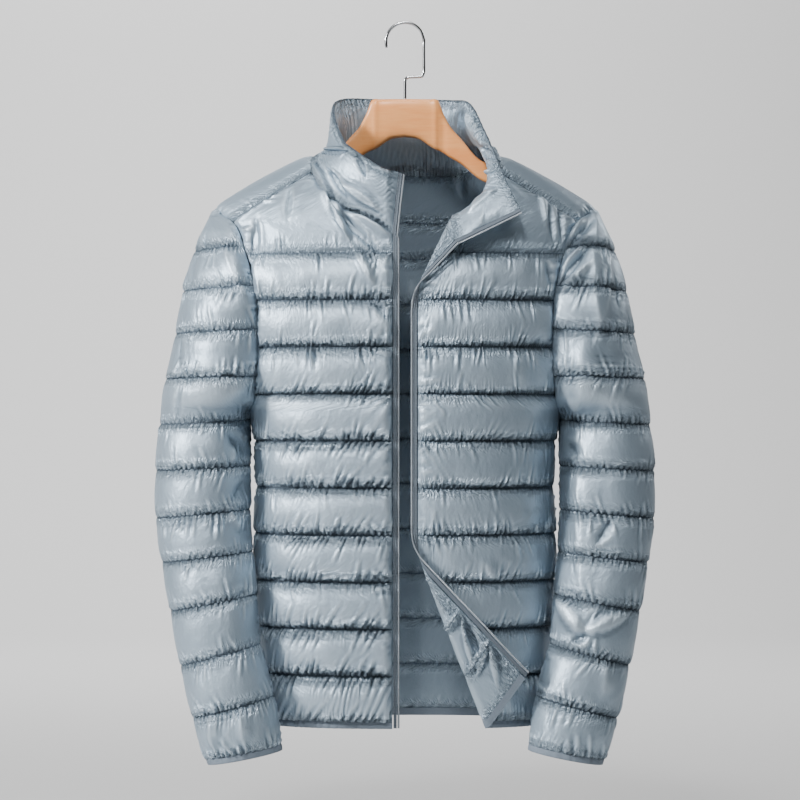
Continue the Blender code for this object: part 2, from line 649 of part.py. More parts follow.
def zip_line(side):
    """The zip edge's points and its outward direction, from the hem up the front and the collar's end."""
    z = front_rows()[0]
    z = np.concatenate([[HEM_SEAM_Z - BINDING_HEIGHT], z[z < NECK_FRONT[0]["z"] - GAP], [NECK_FRONT[0]["z"]]])
    rows = []
    for x in (PANEL_EDGE - 3.5 * GAP, TAPE_EDGE):
        across_x = np.full_like(z, x)
        rows.append(left_front(across_x, z)[0] if side > 0 else front_point(-across_x, z))
    collar = collar_grid(rows=6, columns=30)[1:]
    end, beside = (collar[:, -1], collar[:, -2]) if side > 0 else (collar[:, 0], collar[:, 1])
    away = unit(end - beside)
    inner = np.concatenate([rows[0], end + away * GAP])
    outer = np.concatenate([rows[1], end + away * (PANEL_EDGE - TAPE_EDGE)])
    return inner, outer


def add_zip(side, word, tape, coil):
    inner, outer = zip_line(side)
    points = np.stack([outer, (inner + outer) / 2, inner], axis=1)
    if side < 0:
        points = points[:, ::-1]
    raised = sheet_of(points, TAPE_WALL)
    add_wall("zip_tape_" + word, raised, points, tape)
    away = unit(outer - inner)
    up = unit(np.gradient(outer, axis=0))
    out = unit(np.cross(away, up)) * -side
    middle = outer + away * (COIL_WIDTH / 2 + 2 * GAP) + out * TAPE_WALL / 2
    half = COIL_WIDTH / 2
    rings = np.stack([middle + half * step for step in (away, out, -away, -out)], axis=1)
    add_tube("zip_coil_" + word, rings if side > 0 else rings[:, ::-1], coil)


def bar(x, top, bottom, y, thick):
    """One section of the hanger's bar: a rounded upright oval."""
    turn = np.radians(np.arange(0, 360, 36) + 18)
    power = 0.55
    wide = np.sign(np.cos(turn)) * np.abs(np.cos(turn)) ** power * thick / 2
    high = np.sign(np.sin(turn)) * np.abs(np.sin(turn)) ** power * (top - bottom) / 2
    return np.stack([np.full_like(turn, x), y + wide, (top + bottom) / 2 + high], axis=-1)


def add_hanger(finish):
    rows = [dict(row, x=-row["x"]) for row in HANGER[:0:-1]] + list(HANGER)
    rings = np.stack([bar(**row) for row in rows])
    add_tube("hanger_wood", rings, finish)


def add_hook(finish):
    turn = np.radians(np.linspace(200, -10, 15))
    centre_z = HOOK_WIRE - HOOK_BEND
    bend = np.stack([HOOK_BEND * np.cos(turn), HOOK_BEND * np.sin(turn) + centre_z], axis=-1)
    tail = [(HOOK_BEND, HOOK_JOG_Z + 0.006), (HOOK_BEND - 0.002, HOOK_JOG_Z), (0.003, HOOK_JOG_Z - 0.001)]
    path = np.concatenate([bend, tail, [(0.0, HOOK_JOG_Z - 0.004), (0.0, HOOK_FOOT_Z)]])
    along = unit(np.gradient(path, axis=0))
    beside = np.stack([along[:, 1], -along[:, 0]], axis=-1)
    rings = []
    for angle in np.radians(np.arange(0, 360, 45)):
        flat = path + beside * HOOK_WIRE * np.cos(angle)
        level = np.full(len(path), HOOK_WIRE * np.sin(angle))
        rings.append(np.stack([flat[:, 0], level, flat[:, 1]], axis=-1))
    add_tube("hanger_hook", np.stack(rings, axis=1), finish)


def main():
    for old in list(bpy.data.objects):
        bpy.data.objects.remove(old, do_unlink=True)
    shell = material("shell", SHELL_COLOUR, 0.38)
    binding = material("binding", BINDING_COLOUR, 0.7)
    tape = material("zip_tape", TAPE_COLOUR, 0.7)
    coil = material("zip_coil", COIL_COLOUR, 0.4)
    wood = material("wood", WOOD_COLOUR, 0.45)
    steel = material("steel", STEEL_COLOUR, 0.2, metallic=1.0)
    add_right_front(shell)
    add_left_front(shell)
    add_back(shell)
    add_sleeve("sleeve_right", -1, shell)
    add_sleeve("sleeve_left", 1, shell)
    add_collar(shell)
    add_hem_binding(binding)
    add_cuff_binding("cuff_binding_right", -1, binding)
    add_cuff_binding("cuff_binding_left", 1, binding)
    add_zip(-1, "right", tape, coil)
    add_zip(1, "left", tape, coil)
    add_hanger(wood)
    add_hook(steel)


main()
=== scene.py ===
"""Quilted down jacket on a wooden hanger: the looks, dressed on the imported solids.

Metres, +X the wearer's left, -Y the front, +Z up, origin at the inside top of the hook. Each quilted
piece is a grid of plain points with outward normals. Its cloth is cut longer than that grid and is
settled over it by a position-based cloth solver written with numpy arrays: stitch lines are held,
the filling pushes out, and the spare cloth gathers beside the stitching.
"""

import logging
import math
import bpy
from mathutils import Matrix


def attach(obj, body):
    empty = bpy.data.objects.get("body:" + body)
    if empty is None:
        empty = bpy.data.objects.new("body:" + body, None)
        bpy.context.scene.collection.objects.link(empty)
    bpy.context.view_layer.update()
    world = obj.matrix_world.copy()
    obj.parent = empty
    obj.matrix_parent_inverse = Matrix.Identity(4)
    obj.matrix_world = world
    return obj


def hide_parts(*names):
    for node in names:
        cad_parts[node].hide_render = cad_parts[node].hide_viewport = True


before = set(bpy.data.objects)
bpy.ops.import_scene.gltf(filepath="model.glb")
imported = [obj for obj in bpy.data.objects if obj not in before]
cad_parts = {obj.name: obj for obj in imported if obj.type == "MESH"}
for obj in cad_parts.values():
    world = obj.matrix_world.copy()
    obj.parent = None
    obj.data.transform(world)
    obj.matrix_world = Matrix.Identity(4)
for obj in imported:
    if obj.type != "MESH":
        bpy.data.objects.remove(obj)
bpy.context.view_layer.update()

from concurrent.futures import ThreadPoolExecutor
from dataclasses import dataclass, field, replace
from enum import Enum
from typing import Callable, Mapping, Sequence

import bpy
import numpy as np

Array = np.ndarray
Thing = bpy.types.Object
Material = bpy.types.Material
Vector3 = tuple[float, float, float]
Colour = tuple[float, float, float, float]
log = logging.getLogger("jacket")

GAP = 0.0003
WALL = 0.0016
PITCH = 0.055
HEM_SEAM_Z = -0.829
CHANNELS = 10
UNDERARM_Z = -0.462
YOKE_Z = -0.2403
BINDING_HEIGHT = 0.0076
BINDING_WALL = 0.0026
ZIP_WIDTH = 0.0085
TAPE_WALL = 0.0014
COIL_WIDTH = 0.0030
FRONT_EDGE = 0.0062
PANEL_EDGE = FRONT_EDGE + ZIP_WIDTH
TAPE_EDGE = FRONT_EDGE + COIL_WIDTH + 2 * GAP
ARMHOLE_GAP = 0.0024
COLLAR_LIFT = -0.0020
LAPEL_LIFT = 0.0036
LOW_GATHERS = (0.20, 0.026)
BODY_GATHERS = (0.24, 0.0100)
SLEEVE_GATHERS = (0.22, 0.0090)
FAR_FROM_STITCHES = 0.01
SHARP_ANGLE = 40.0
SIDE_SQUASH = (50.0, 72.0)
PUFF_SHARE = 1.06
RELIEF_DEPTH = 0.0017
CREASE_LIMITS = (-0.0024, 0.0030)


class Side(Enum):
    """The wearer's sides, as the sign of X."""

    RIGHT = -1
    LEFT = 1

    @property
    def word(self) -> str:
        """The side's name in lower case."""
        return self.name.lower()


class Face(Enum):
    """The two halves of the torso form."""

    FRONT = "front"
    BACK = "back"


@dataclass(frozen=True)
class Table:
    """Rows under named columns, the first of them the key, read smoothly between the rows."""

    names: tuple[str, ...]
    rows: tuple[tuple[float, ...], ...]

    def column(self, name: str) -> Array:
        """The named column as an array."""
        return np.array([row[self.names.index(name)] for row in self.rows])

    def at(self, name: str, where: Array | float) -> Array:
        """Reads a column between its rows with a cubic that has no corners.

        Each span is the straight line plus t(1-t)(a(1-t)+bt), where a and b come from the slopes.

        Args:
            name: The column to read.
            where: Places along the key column; beyond its ends the end values hold.

        Returns:
            The values, in the shape of where.
        """
        keys, values = self.column(self.names[0]), self.column(name)
        slopes = np.gradient(values, keys)
        place = np.clip(np.asarray(where, float), keys[0], keys[-1])
        left = np.clip(np.searchsorted(keys, place, side="right") - 1, 0, len(keys) - 2)
        span = keys[left + 1] - keys[left]
        t = (place - keys[left]) / span
        rise = values[left + 1] - values[left]
        a = slopes[left] * span - rise
        b = rise - slopes[left + 1] * span
        return values[left] + rise * t + t * (1 - t) * (a * (1 - t) + b * t)


def table(names: str, *rows: tuple[float, ...]) -> Table:
    """A table from its columns' names, with a space between them, and its rows."""
    return Table(tuple(names.split()), rows)


TORSO = table(
    "z half_width front back",
    (-0.840, 0.1665, 0.092, 0.079),
    (-0.750, 0.1715, 0.106, 0.089),
    (-0.650, 0.1765, 0.112, 0.096),
    (-0.500, 0.1765, 0.117, 0.101),
    (-0.462, 0.1820, 0.117, 0.102),
    (-0.430, 0.1910, 0.117, 0.102),
    (-0.390, 0.2005, 0.117, 0.102),
    (-0.340, 0.2145, 0.116, 0.101),
    (-0.300, 0.2225, 0.116, 0.100),
    (-0.225, 0.2325, 0.115, 0.100),
    (-0.140, 0.2360, 0.115, 0.100),
)
RIDGE = table(
    "x z",
    (0.000, -0.1500),
    (0.060, -0.1540),
    (0.114, -0.1630),
    (0.170, -0.1905),
    (0.228, -0.2245),
    (0.240, -0.2310),
)
ARMHOLE = table(
    "z front back",
    (-0.4620, 90.0, 90.0),
    (-0.4590, 82.5, 83.5),
    (-0.4520, 74.5, 77.0),
    (-0.4400, 67.0, 71.5),
    (-0.4200, 60.0, 67.0),
    (-0.3900, 55.6, 63.0),
    (-0.3400, 50.0, 58.0),
    (-0.3000, 50.1, 57.4),
    (-0.2710, 52.6, 59.7),
    (-0.2500, 55.2, 63.1),
    (-0.2403, 58.5, 67.2),
    (-0.2335, 64.0, 71.1),
    (-0.2285, 70.2, 74.8),
    (-0.2245, 77.4, 77.4),
)
NECK_FRONT = table(
    "z x",
    (-0.2580, PANEL_EDGE),
    (-0.2475, 0.0282),
    (-0.2395, 0.0430),
    (-0.2310, 0.0640),
    (-0.2180, 0.0820),
    (-0.2040, 0.0950),
    (-0.1900, 0.1050),
    (-0.1810, 0.1095),
)
NECK_BACK = table(
    "share x arch",
    (0.0, 0.0000, 63.0),
    (0.2, 0.0450, 63.6),
    (0.3, 0.0680, 66.0),
    (0.4, 0.0890, 73.5),
    (0.5, 0.1060, 91.0),
    (0.6, 0.1095, 112.6),
)
SLEEVE = table(
    "line out_x out_z in_x in_z mid_y depth",
    (0.0, 0.2300, -0.2250, 0.2230, -0.2250, 0.000, 0.010),
    (1.0, 0.2490, -0.2740, 0.1500, -0.2700, 0.000, 0.062),
    (2.0, 0.2620, -0.3225, 0.1520, -0.3168, 0.000, 0.080),
    (3.0, 0.2715, -0.3730, 0.1570, -0.3673, -0.002, 0.085),
    (4.0, 0.2820, -0.4265, 0.1690, -0.4225, -0.006, 0.082),
    (5.0, 0.2900, -0.4815, 0.1860, -0.4781, -0.015, 0.072),
    (6.0, 0.2935, -0.5350, 0.1870, -0.5293, -0.025, 0.066),
    (7.0, 0.2925, -0.5905, 0.1870, -0.5808, -0.035, 0.060),
    (8.0, 0.2850, -0.6425, 0.1840, -0.6303, -0.046, 0.055),
    (9.0, 0.2745, -0.6990, 0.1785, -0.6801, -0.060, 0.050),
    (10.0, 0.2615, -0.7625, 0.1728, -0.7378, -0.072, 0.044),
    (11.0, 0.2466, -0.8230, 0.1566, -0.7985, -0.084, 0.039),
    (12.0, 0.2310, -0.8720, 0.1475, -0.8555, -0.090, 0.034),
)
COLLAR_TOP = table(
    "share x y z bulge",
    (0.00, -0.0080, -0.0930, -0.1840, 0.000),
    (0.08, -0.0270, -0.0940, -0.1780, 0.002),
    (0.17, -0.0490, -0.0840, -0.1640, 0.004),
    (0.27, -0.0730, -0.0590, -0.1410, 0.009),
    (0.35, -0.0850, -0.0200, -0.1060, 0.012),
    (0.42, -0.0770, 0.0200, -0.0885, 0.010),
    (0.50, -0.0200, 0.0410, -0.0870, 0.003),
    (0.58, 0.0560, 0.0370, -0.0880, 0.005),
    (0.64, 0.0760, 0.0120, -0.0930, 0.010),
    (0.72, 0.0940, -0.0230, -0.1290, 0.010),
    (0.81, 0.1090, -0.0590, -0.1680, 0.006),
    (0.90, 0.1220, -0.0860, -0.2000, 0.002),
    (1.00, 0.1340, -0.1090, -0.2270, 0.000),
)


def ramp(low: float, high: float, at: Array | float) -> Array:
    """0 below low, 1 above high, and a smooth rise between them."""
    t = np.clip((np.asarray(at, float) - low) / (high - low), 0, 1)
    return t * t * (3 - 2 * t)


def unit(vectors: Array) -> Array:
    """The vectors at length 1."""
    return vectors / np.maximum(np.linalg.norm(vectors, axis=-1, keepdims=True), 1e-12)


def normals(points: Array) -> Array:
    """Unit normals of a grid of points: the cross product of its column and row directions."""
    return unit(np.cross(np.gradient(points, axis=1), np.gradient(points, axis=0)))


def read_rows(places: Array, keys: Array, rows: Array) -> Array:
    """Rows of three numbers, read at places between their keys."""
    return np.stack([np.interp(places, keys, rows[:, k]) for k in range(3)], axis=-1)


def polyline_length(line: Array) -> float:
    """A polyline's length."""
    return float(np.linalg.norm(np.diff(line, axis=0), axis=1).sum())


def resample(line: Array, shares: Array) -> Array:
    """Points at shares of a polyline's length."""
    steps = np.linalg.norm(np.diff(line, axis=0), axis=1)
    return read_rows(shares, np.concatenate([[0], np.cumsum(steps)]) / steps.sum(), line)


def directions(vectors: Array, shares: Array) -> Array:
    """Unit vectors, read at shares of the way through them."""
    return unit(read_rows(shares, np.linspace(0, 1, len(vectors)), vectors))


def full_turn(count: int) -> Array:
    """Even angles round a circle, in radians."""
    return np.linspace(0, 2 * np.pi, count, endpoint=False)


def signed_power(values: Array, power: float) -> Array:
    """The values' sizes to a power, with their signs kept."""
    return np.sign(values) * np.abs(values) ** power


def ring_offsets(right: Array, up: Array, cosines: Array, sines: Array) -> Array:
    """A ring of offsets for each pair of directions."""
    return right[:, None] * cosines[None, :, None] + up[:, None] * sines[None, :, None]


def cell_corners(index: Array) -> Array:
    """Four corners of each cell of a grid of indices, turned to face along columns times rows."""
    corners = (index[:-1, :-1], index[:-1, 1:], index[1:, 1:], index[1:, :-1])
    return np.stack([corner.ravel() for corner in corners], axis=1)


def arc_lengths(points: Array, axis: int) -> Array:
    """Lengths along a grid's rows (axis 0) or columns (axis 1), from 0 at the first."""
    steps = np.linalg.norm(np.diff(points, axis=axis), axis=-1)
    start = np.zeros_like(np.take(steps, [0], axis=axis))
    return np.concatenate([start, np.cumsum(steps, axis=axis)], axis=axis)


def soften(values: Array, times: int) -> Array:
    """A grid blurred with its neighbours' mean, times over; its border keeps its own values longer."""
    for _ in range(times):
        padded = np.pad(values, [(1, 1), (1, 1)] + [(0, 0)] * (values.ndim - 2), mode="edge")
        around = padded[2:, 1:-1] + padded[:-2, 1:-1] + padded[1:-1, 2:] + padded[1:-1, :-2]
        values = 0.5 * values + 0.125 * around
    return values


class TorsoForm:
    """The hollow form that the body's pieces lie on: a rounded oval at each height, arched over."""

    rounding = 2.5
    chest_z = -0.40

    def ridge(self, x: Array) -> Array:
        """Height of the shoulder's ridge."""
        return RIDGE.at("z", np.abs(x))

    def across(self, angle: Array | float, z: Array | float) -> Array:
        """Distance from the centre at an angle round the form: half width times sin to 2/rounding."""
        return TORSO.at("half_width", z) * np.sin(np.radians(angle)) ** (2 / self.rounding)

    def angle_at(self, x: Array | float, z: Array | float) -> Array:
        """The angle whose distance from the centre is x, from 0 at the centre to 90 at the side."""
        share = np.clip(np.abs(x) / TORSO.at("half_width", z), 0, 1)
        return np.degrees(np.arcsin(share ** (self.rounding / 2)))

    def depth_at(self, x: Array, z: Array, face: Face) -> Array:
        """How far the form stands out from its middle plane.

        Args:
            x: Distances across.
            z: Heights.
            face: The half to measure.

        Returns:
            The section's depth times cos to 2/rounding, shrunk on a quarter ellipse to the ridge.
        """
        around = np.cos(np.radians(self.angle_at(x, z))) ** (2 / self.rounding)
        rise = np.clip((z - self.chest_z) / (self.ridge(x) - self.chest_z), 0, 1)
        return TORSO.at(face.value, z) * around * np.sqrt(1 - rise**2)

    def front_point(self, x: Array, z: Array) -> Array:
        """Points on the form's front."""
        return np.stack([x, -self.depth_at(x, z, Face.FRONT), z], axis=-1)

    def back_point(self, x: Array, z: Array) -> Array:
        """Points on the form's back."""
        return np.stack([x, self.depth_at(x, z, Face.BACK), z], axis=-1)

    def arch_point(self, x: Array, arch: Array) -> Array:
        """Points over the shoulder: arch is 0 at chest height behind and 90 on the ridge."""
        z = self.chest_z + (self.ridge(x) - self.chest_z) * np.sin(np.radians(arch))
        behind, before = self.depth_at(x, z, Face.BACK), self.depth_at(x, z, Face.FRONT)
        return np.stack([x, np.where(arch <= 90, behind, -before), z], axis=-1)

    def arch_at(self, x: Array, z: Array, over: bool = False) -> Array:
        """The arch angle of a height on the back or, past the ridge, on the front."""
        rise = np.clip((z - self.chest_z) / (self.ridge(x) - self.chest_z), -1, 1)
        arch = np.degrees(np.arcsin(rise))
        return 180 - arch if over else arch


@dataclass(frozen=True)
class Crease:
    """A straight line on the front beyond which the cloth is rolled over outwards."""

    low: tuple[float, float]
    high: tuple[float, float]
    radius_low: float
    radius_high: float
    turn: float
    lift: float

    def fold(self, form: TorsoForm, x: Array, z: Array) -> tuple[Array, Array]:
        """Rolls points over the line.

        A point beyond the line by s goes round a roll of radius r by the angle s/r, up to the turn,
        and straight on after that.

        Args:
            form: The form that the front lies on.
            x: Distances across, before rolling.
            z: Heights, before rolling.

        Returns:
            The points, and how far each lies beyond the line, less than 0 on the near side.
        """
        low, high = np.array(self.low), np.array(self.high)
        along = (high - low) / np.linalg.norm(high - low)
        into = np.array([along[1], -along[0]])
        into = into if into[0] > 0 else -into
        place = np.stack([x, z], axis=-1) - low
        reach = -(place @ into)
        beyond = np.maximum(reach, 0)
        share = np.clip(place @ along / np.linalg.norm(high - low), 0, 1)
        radius = self.radius_low + (self.radius_high - self.radius_low) * share
        start_x, start_z = x + beyond * into[0], z + beyond * into[1]
        start = form.front_point(start_x, start_z)
        step = 0.004
        edgewards = unit(form.front_point(start_x - step * into[0], start_z - step * into[1]) - start)
        upwards = unit(form.front_point(start_x + step * along[0], start_z + step * along[1]) - start)
        outwards = unit(np.cross(edgewards, upwards))
        outwards = np.where(outwards[..., 1:2] < 0, outwards, -outwards)
        turn = np.radians(self.turn)
        angle = np.minimum(beyond / radius, turn)
        straight = np.maximum(beyond - radius * turn, 0)
        ahead = radius * np.sin(angle) + straight * np.cos(turn)
        away = radius * (1 - np.cos(angle)) + straight * np.sin(turn)
        rise = straight * self.lift * np.sign(along[1])
        parts = ((ahead, edgewards), (away, outwards), (rise, upwards))
        return start + sum(amount[..., None] * direction for amount, direction in parts), reach


class JacketForm(TorsoForm):
    """The torso form with the left front's lapel and rolled corner, and the seams between pieces."""

    lapel = Crease((0.0057, -0.3590), (0.0619, -0.2359), 0.0095, 0.0062, 152.0, 0.45)
    corner = Crease((0.0990, -0.8300), (0.0250, -0.6400), 0.0080, 0.0065, 160.0, 0.35)
    seam_angle = 89.95

    def left_front(self, x: Array, z: Array) -> tuple[Array, Array]:
        """The left front's points, and how far each lies beyond its nearest crease."""
        lapel, over_lapel = self.lapel.fold(self, x, z)
        corner, over_corner = self.corner.fold(self, x, z)
        low = z < UNDERARM_Z
        return np.where(low[..., None], corner, lapel), np.where(low, over_corner, over_lapel)

    def front(self, x: Array, z: Array, side: Side) -> tuple[Array, Array]:
        """A front's points from distances across, and how far each lies beyond a crease."""
        if side is Side.LEFT:
            return self.left_front(x, z)
        return self.front_point(-x, z), np.full(np.shape(x), -1.0)

    def front_limits(self, z: Array) -> tuple[Array, Array]:
        """Where a front's rows start, at the zip or neck, and end, at the armhole, side or yoke.

        Args:
            z: The rows' heights.

        Returns:
            Distances across at both ends.
        """
        neck_z, neck_x = NECK_FRONT.column("z"), NECK_FRONT.column("x")
        start = np.where(z <= neck_z[0], PANEL_EDGE, np.interp(z, neck_z, neck_x))
        side = self.across(self.seam_angle, z) + GAP
        end = np.where(z < UNDERARM_Z, side, self.across(ARMHOLE.at("front", z), z))
        share = (z - YOKE_Z) / (neck_z[-1] - YOKE_Z)
        yoke = self.across(ARMHOLE.at("front", YOKE_Z), YOKE_Z)
        end = np.where(z > YOKE_Z, yoke + (neck_x[-1] - yoke) * share, end)
        return start + GAP, np.maximum(end, start + 0.003) - GAP

    def back_border(self, share: Array) -> tuple[Array, Array]:
        """The back's top edge: half the neck from the centre, then the shoulder seam.

        Args:
            share: Shares of the edge, from the centre to the armhole.

        Returns:
            Distances across and arch angles.
        """
        neck_end = 0.6
        last_x, last_z = NECK_FRONT.column("x")[-1], NECK_FRONT.column("z")[-1]
        over = np.clip((share - neck_end) / (1 - neck_end), 0, 1)
        x = last_x + (self.across(ARMHOLE.at("front", YOKE_Z), YOKE_Z) - last_x) * over
        z = last_z + (YOKE_Z - last_z) * over + 2 * GAP
        on_neck = share < neck_end - 1e-6
        seam = self.arch_at(x, z, over=True)
        return (
            np.where(on_neck, NECK_BACK.at("x", share), x),
            np.where(on_neck, NECK_BACK.at("arch", share), seam),
        )

    def back_side(self, share: Array) -> tuple[Array, Array]:
        """The back's armhole edge above the last long channel, up to the tip and down in front.

        Args:
            share: Shares of the edge.

        Returns:
            Distances across and arch angles.
        """
        tip_share, tip_z, foot_z = 0.60, ARMHOLE.column("z")[-1], HEM_SEAM_Z + CHANNELS * PITCH
        back_z = foot_z + (tip_z - foot_z) * np.minimum(share / tip_share, 1)
        front_z = tip_z + (YOKE_Z - tip_z) * np.clip((share - tip_share) / (1 - tip_share), 0, 1)
        back_x = self.across(ARMHOLE.at("back", back_z), back_z)
        front_x = self.across(ARMHOLE.at("front", front_z), front_z)
        over = share > tip_share
        arch = np.where(over, self.arch_at(front_x, front_z, over=True), self.arch_at(back_x, back_z))
        return np.where(over, front_x, back_x), arch

    def neck_seam(self) -> Array:
        """The neck seam.

        Returns:
            Points from the right zip round the back to the left zip.
        """
        neck_x, neck_z = NECK_FRONT.column("x"), NECK_FRONT.column("z")
        place = np.linspace(0, 1, 57) * (len(neck_x) - 1)
        x = np.interp(place, np.arange(len(neck_x)), neck_x)
        z = np.interp(place, np.arange(len(neck_x)), neck_z)
        round_back = np.linspace(-1, 1, 81)[1:-1] * 0.6
        back_x, arch = self.back_border(np.abs(round_back))
        back = self.arch_point(np.sign(round_back) * back_x, arch)
        return np.concatenate([self.front_point(-x, z), back, self.left_front(x, z)[0][::-1]])


@dataclass
class Patch:
    """A quilted piece before its cloth is settled: plain points and what the cloth over them needs.

    Rows and columns run so that the cross product of the column and row directions points out.
    """

    points: Array
    sewn: Array
    room: Array
    stitch_gap: Array
    gathers: Array
    spare_across: float = 0.004
    slant: float = 0.14
    seed: int = 1
    long_lines: tuple[tuple[int, int, float], ...] = ()

    def __post_init__(self) -> None:
        """Works out the outward normals, softened so that a tight corner doesn't scatter them."""
        self.outward = unit(soften(normals(self.points), 3))
        self.crease = np.zeros(self.room.shape)
        self.pleats = np.zeros(self.room.shape)

    def flipped(self) -> "Patch":
        """The same piece with its columns the other way round, which turns its outward side over."""
        grids = (self.points, self.sewn, self.room, self.stitch_gap, self.gathers)
        turned = Patch(*(grid[:, ::-1].copy() for grid in grids), self.spare_across, self.slant, self.seed)
        turned.long_lines = tuple((line, side, -lean) for line, side, lean in self.long_lines)
        return turned

    def inside(self, room: float) -> "Patch":
        """The same piece seen from its inside.

        Args:
            room: The height of the lining's own low puffs.

        Returns:
            The patch, with its outward side turned over.
        """
        turned = self.flipped()
        turned.room = turned.room * (room / max(float(turned.room.max()), 1e-6))
        turned.seed = self.seed + 50
        turned.crease = -self.crease[:, ::-1]
        turned.long_lines = self.long_lines
        turned.pleat()
        turned.pleats *= 0.5
        return turned

    def roughen(self, folds: Sequence["Fold"], ragged: float = 0.0005) -> None:
        """Makes the stitching ragged and lays large folds over the plain points.

        Points slide down their columns by fine ripples that die away from the stitching. Folds lift
        the points outwards, and fade at the borders so that the seams still meet.

        Args:
            folds: The large folds.
            ragged: How far the stitching strays.
        """
        shape = self.room.shape
        row_step, column_step = arc_lengths(self.points, 0)[1], arc_lengths(self.points, 1)[:, 1]
        spacing = (float(np.median(row_step)), float(np.median(column_step)))
        down = unit(np.gradient(self.points, axis=0))
        inwards = border_fade(self.points, 0.010) * border_fade(np.swapaxes(self.points, 0, 1), 0.006).T
        stray = ripples(shape, spacing, 0.0075, 0.2, self.seed + 21) * np.exp(-self.stitch_gap / 0.006)
        lift = sum((fold.lift(self.points, self.outward) for fold in folds), np.zeros(shape))
        self.points = self.points + down * (stray * ragged * inwards)[..., None]
        self.crease = np.clip(lift * (0.25 + 0.75 * inwards), *CREASE_LIMITS)
        self.points = self.points + self.outward * self.crease[..., None]
        self.pleat()

    def pleat(self) -> None:
        """Lays short folds off both sides of every stitched row, and others off both side borders."""
        over, down = arc_lengths(self.points, 1), arc_lengths(self.points, 0)
        lines = np.flatnonzero(self.sewn[:, 1:-1].mean(axis=1) > 0.9)
        bounds = [lines[0], *lines, len(over) - 1]
        leans = {(line, side): lean for line, side, lean in self.long_lines}
        lift = np.zeros(self.room.shape)
        for number, row in enumerate(lines):
            for side in (-1, 1):
                other = bounds[number + 1 + side]
                part = slice(row, other + 1) if side > 0 else slice(other, row)
                border = (number, side) in ((len(lines) - 1, -1), (0, 1))
                chosen = BORDER_PLEATS if border else Pleats()
                if (number, side) in leans:
                    chosen = replace(LONG_PLEATS, lean=leans[number, side])
                away = np.abs(down[part] - down[row])
                lift[part] += chosen.lift(over[row], away, self.seed + 7 * number + 3 * side + 100)
        for column, inward in ((0, over), (-1, over[:, -1:] - over)):
            beside = SIDE_PLEATS.lift(down[:, column], inward.T, self.seed + 300 + column).T
            lift += beside * (self.stitch_gap > 0.002)
        self.pleats = lift * ramp(0.0, 0.0045, self.room) ** 0.35


@dataclass(frozen=True)
class Pleats:
    """Short sharp folds that run off a stitched line, where its spare cloth is pushed together."""

    spacing: float = 0.0038
    length: float = 0.0062
    width: float = 0.0012
    height: float = 0.0021
    lean: float = 0.25
    long_share: float = 0.20

    def lift(self, along: Array, away: Array, seed: int) -> Array:
        """The folds' height beside one line.

        Every fold starts at a seeded place on the line and runs off it at a seeded lean. Its section is
        a narrow bell with a trough on one side, and it dies away towards its own length.

        Args:
            along: Each column's distance along the line.
            away: Rows by columns, the distance from the line.
            seed: The noise's seed.

        Returns:
            Heights over the same rows and columns.
        """
        chance, total = np.random.default_rng(seed), float(along.max())
        count = max(int(total / self.spacing), 2)
        start = np.sort(chance.random(count)) * 0.6 + (np.arange(count) + chance.random(count)) / count * 0.4
        cluster = 0.5 + 0.5 * np.sin(2 * np.pi * (start * total / 0.075 + chance.random()))
        long = chance.random(count) < self.long_share * (0.3 + 1.4 * cluster)
        long_length = 0.012 + 0.020 * chance.random(count) ** 1.5
        length = np.where(long, long_length, self.length * (0.45 + 1.1 * chance.random(count)))
        width = self.width * np.where(long, 1.45, 0.75 + 0.5 * chance.random(count))
        height = self.height * np.where(long, 1.15, 0.30 + 0.80 * chance.random(count) ** 1.5 + 0.2 * cluster)
        lean = self.lean + 0.40 * chance.standard_normal(count) * np.where(long, 0.45, 1.0)
        far = away[..., None]
        side = (along[None, :, None] - start * total - lean * far) / (width * (1 + 12 * far))
        section = np.exp(-(np.abs(side) ** 1.4)) - 0.75 * np.exp(-((side - 1.9) ** 2))
        section = section - 0.35 * np.exp(-((side + 1.9) ** 2))
        fade = np.clip(1 - far / length, 0, 1) ** 0.8 * (0.25 + 0.75 * ramp(0.0, 0.0018, far))
        return (height * section * fade).sum(axis=-1)


BORDER_PLEATS = Pleats(spacing=0.0060, height=0.0012)
LONG_PLEATS = Pleats(spacing=0.0068, height=0.0028, long_share=0.8)
SIDE_PLEATS = Pleats(spacing=0.0095, length=0.0100, width=0.0016, height=0.0024, lean=0.1, long_share=0.15)


def gathered(gap: Array, amount: float, reach: float, seed: int) -> Array:
    """The share of spare cloth along the stitching: most on it, dying away over an uneven reach."""
    uneven = clouds(gap.shape, (8, 14), seed)
    return amount * (np.exp(-gap / (reach * (0.35 + 1.5 * uneven**1.5))) + 0.02)


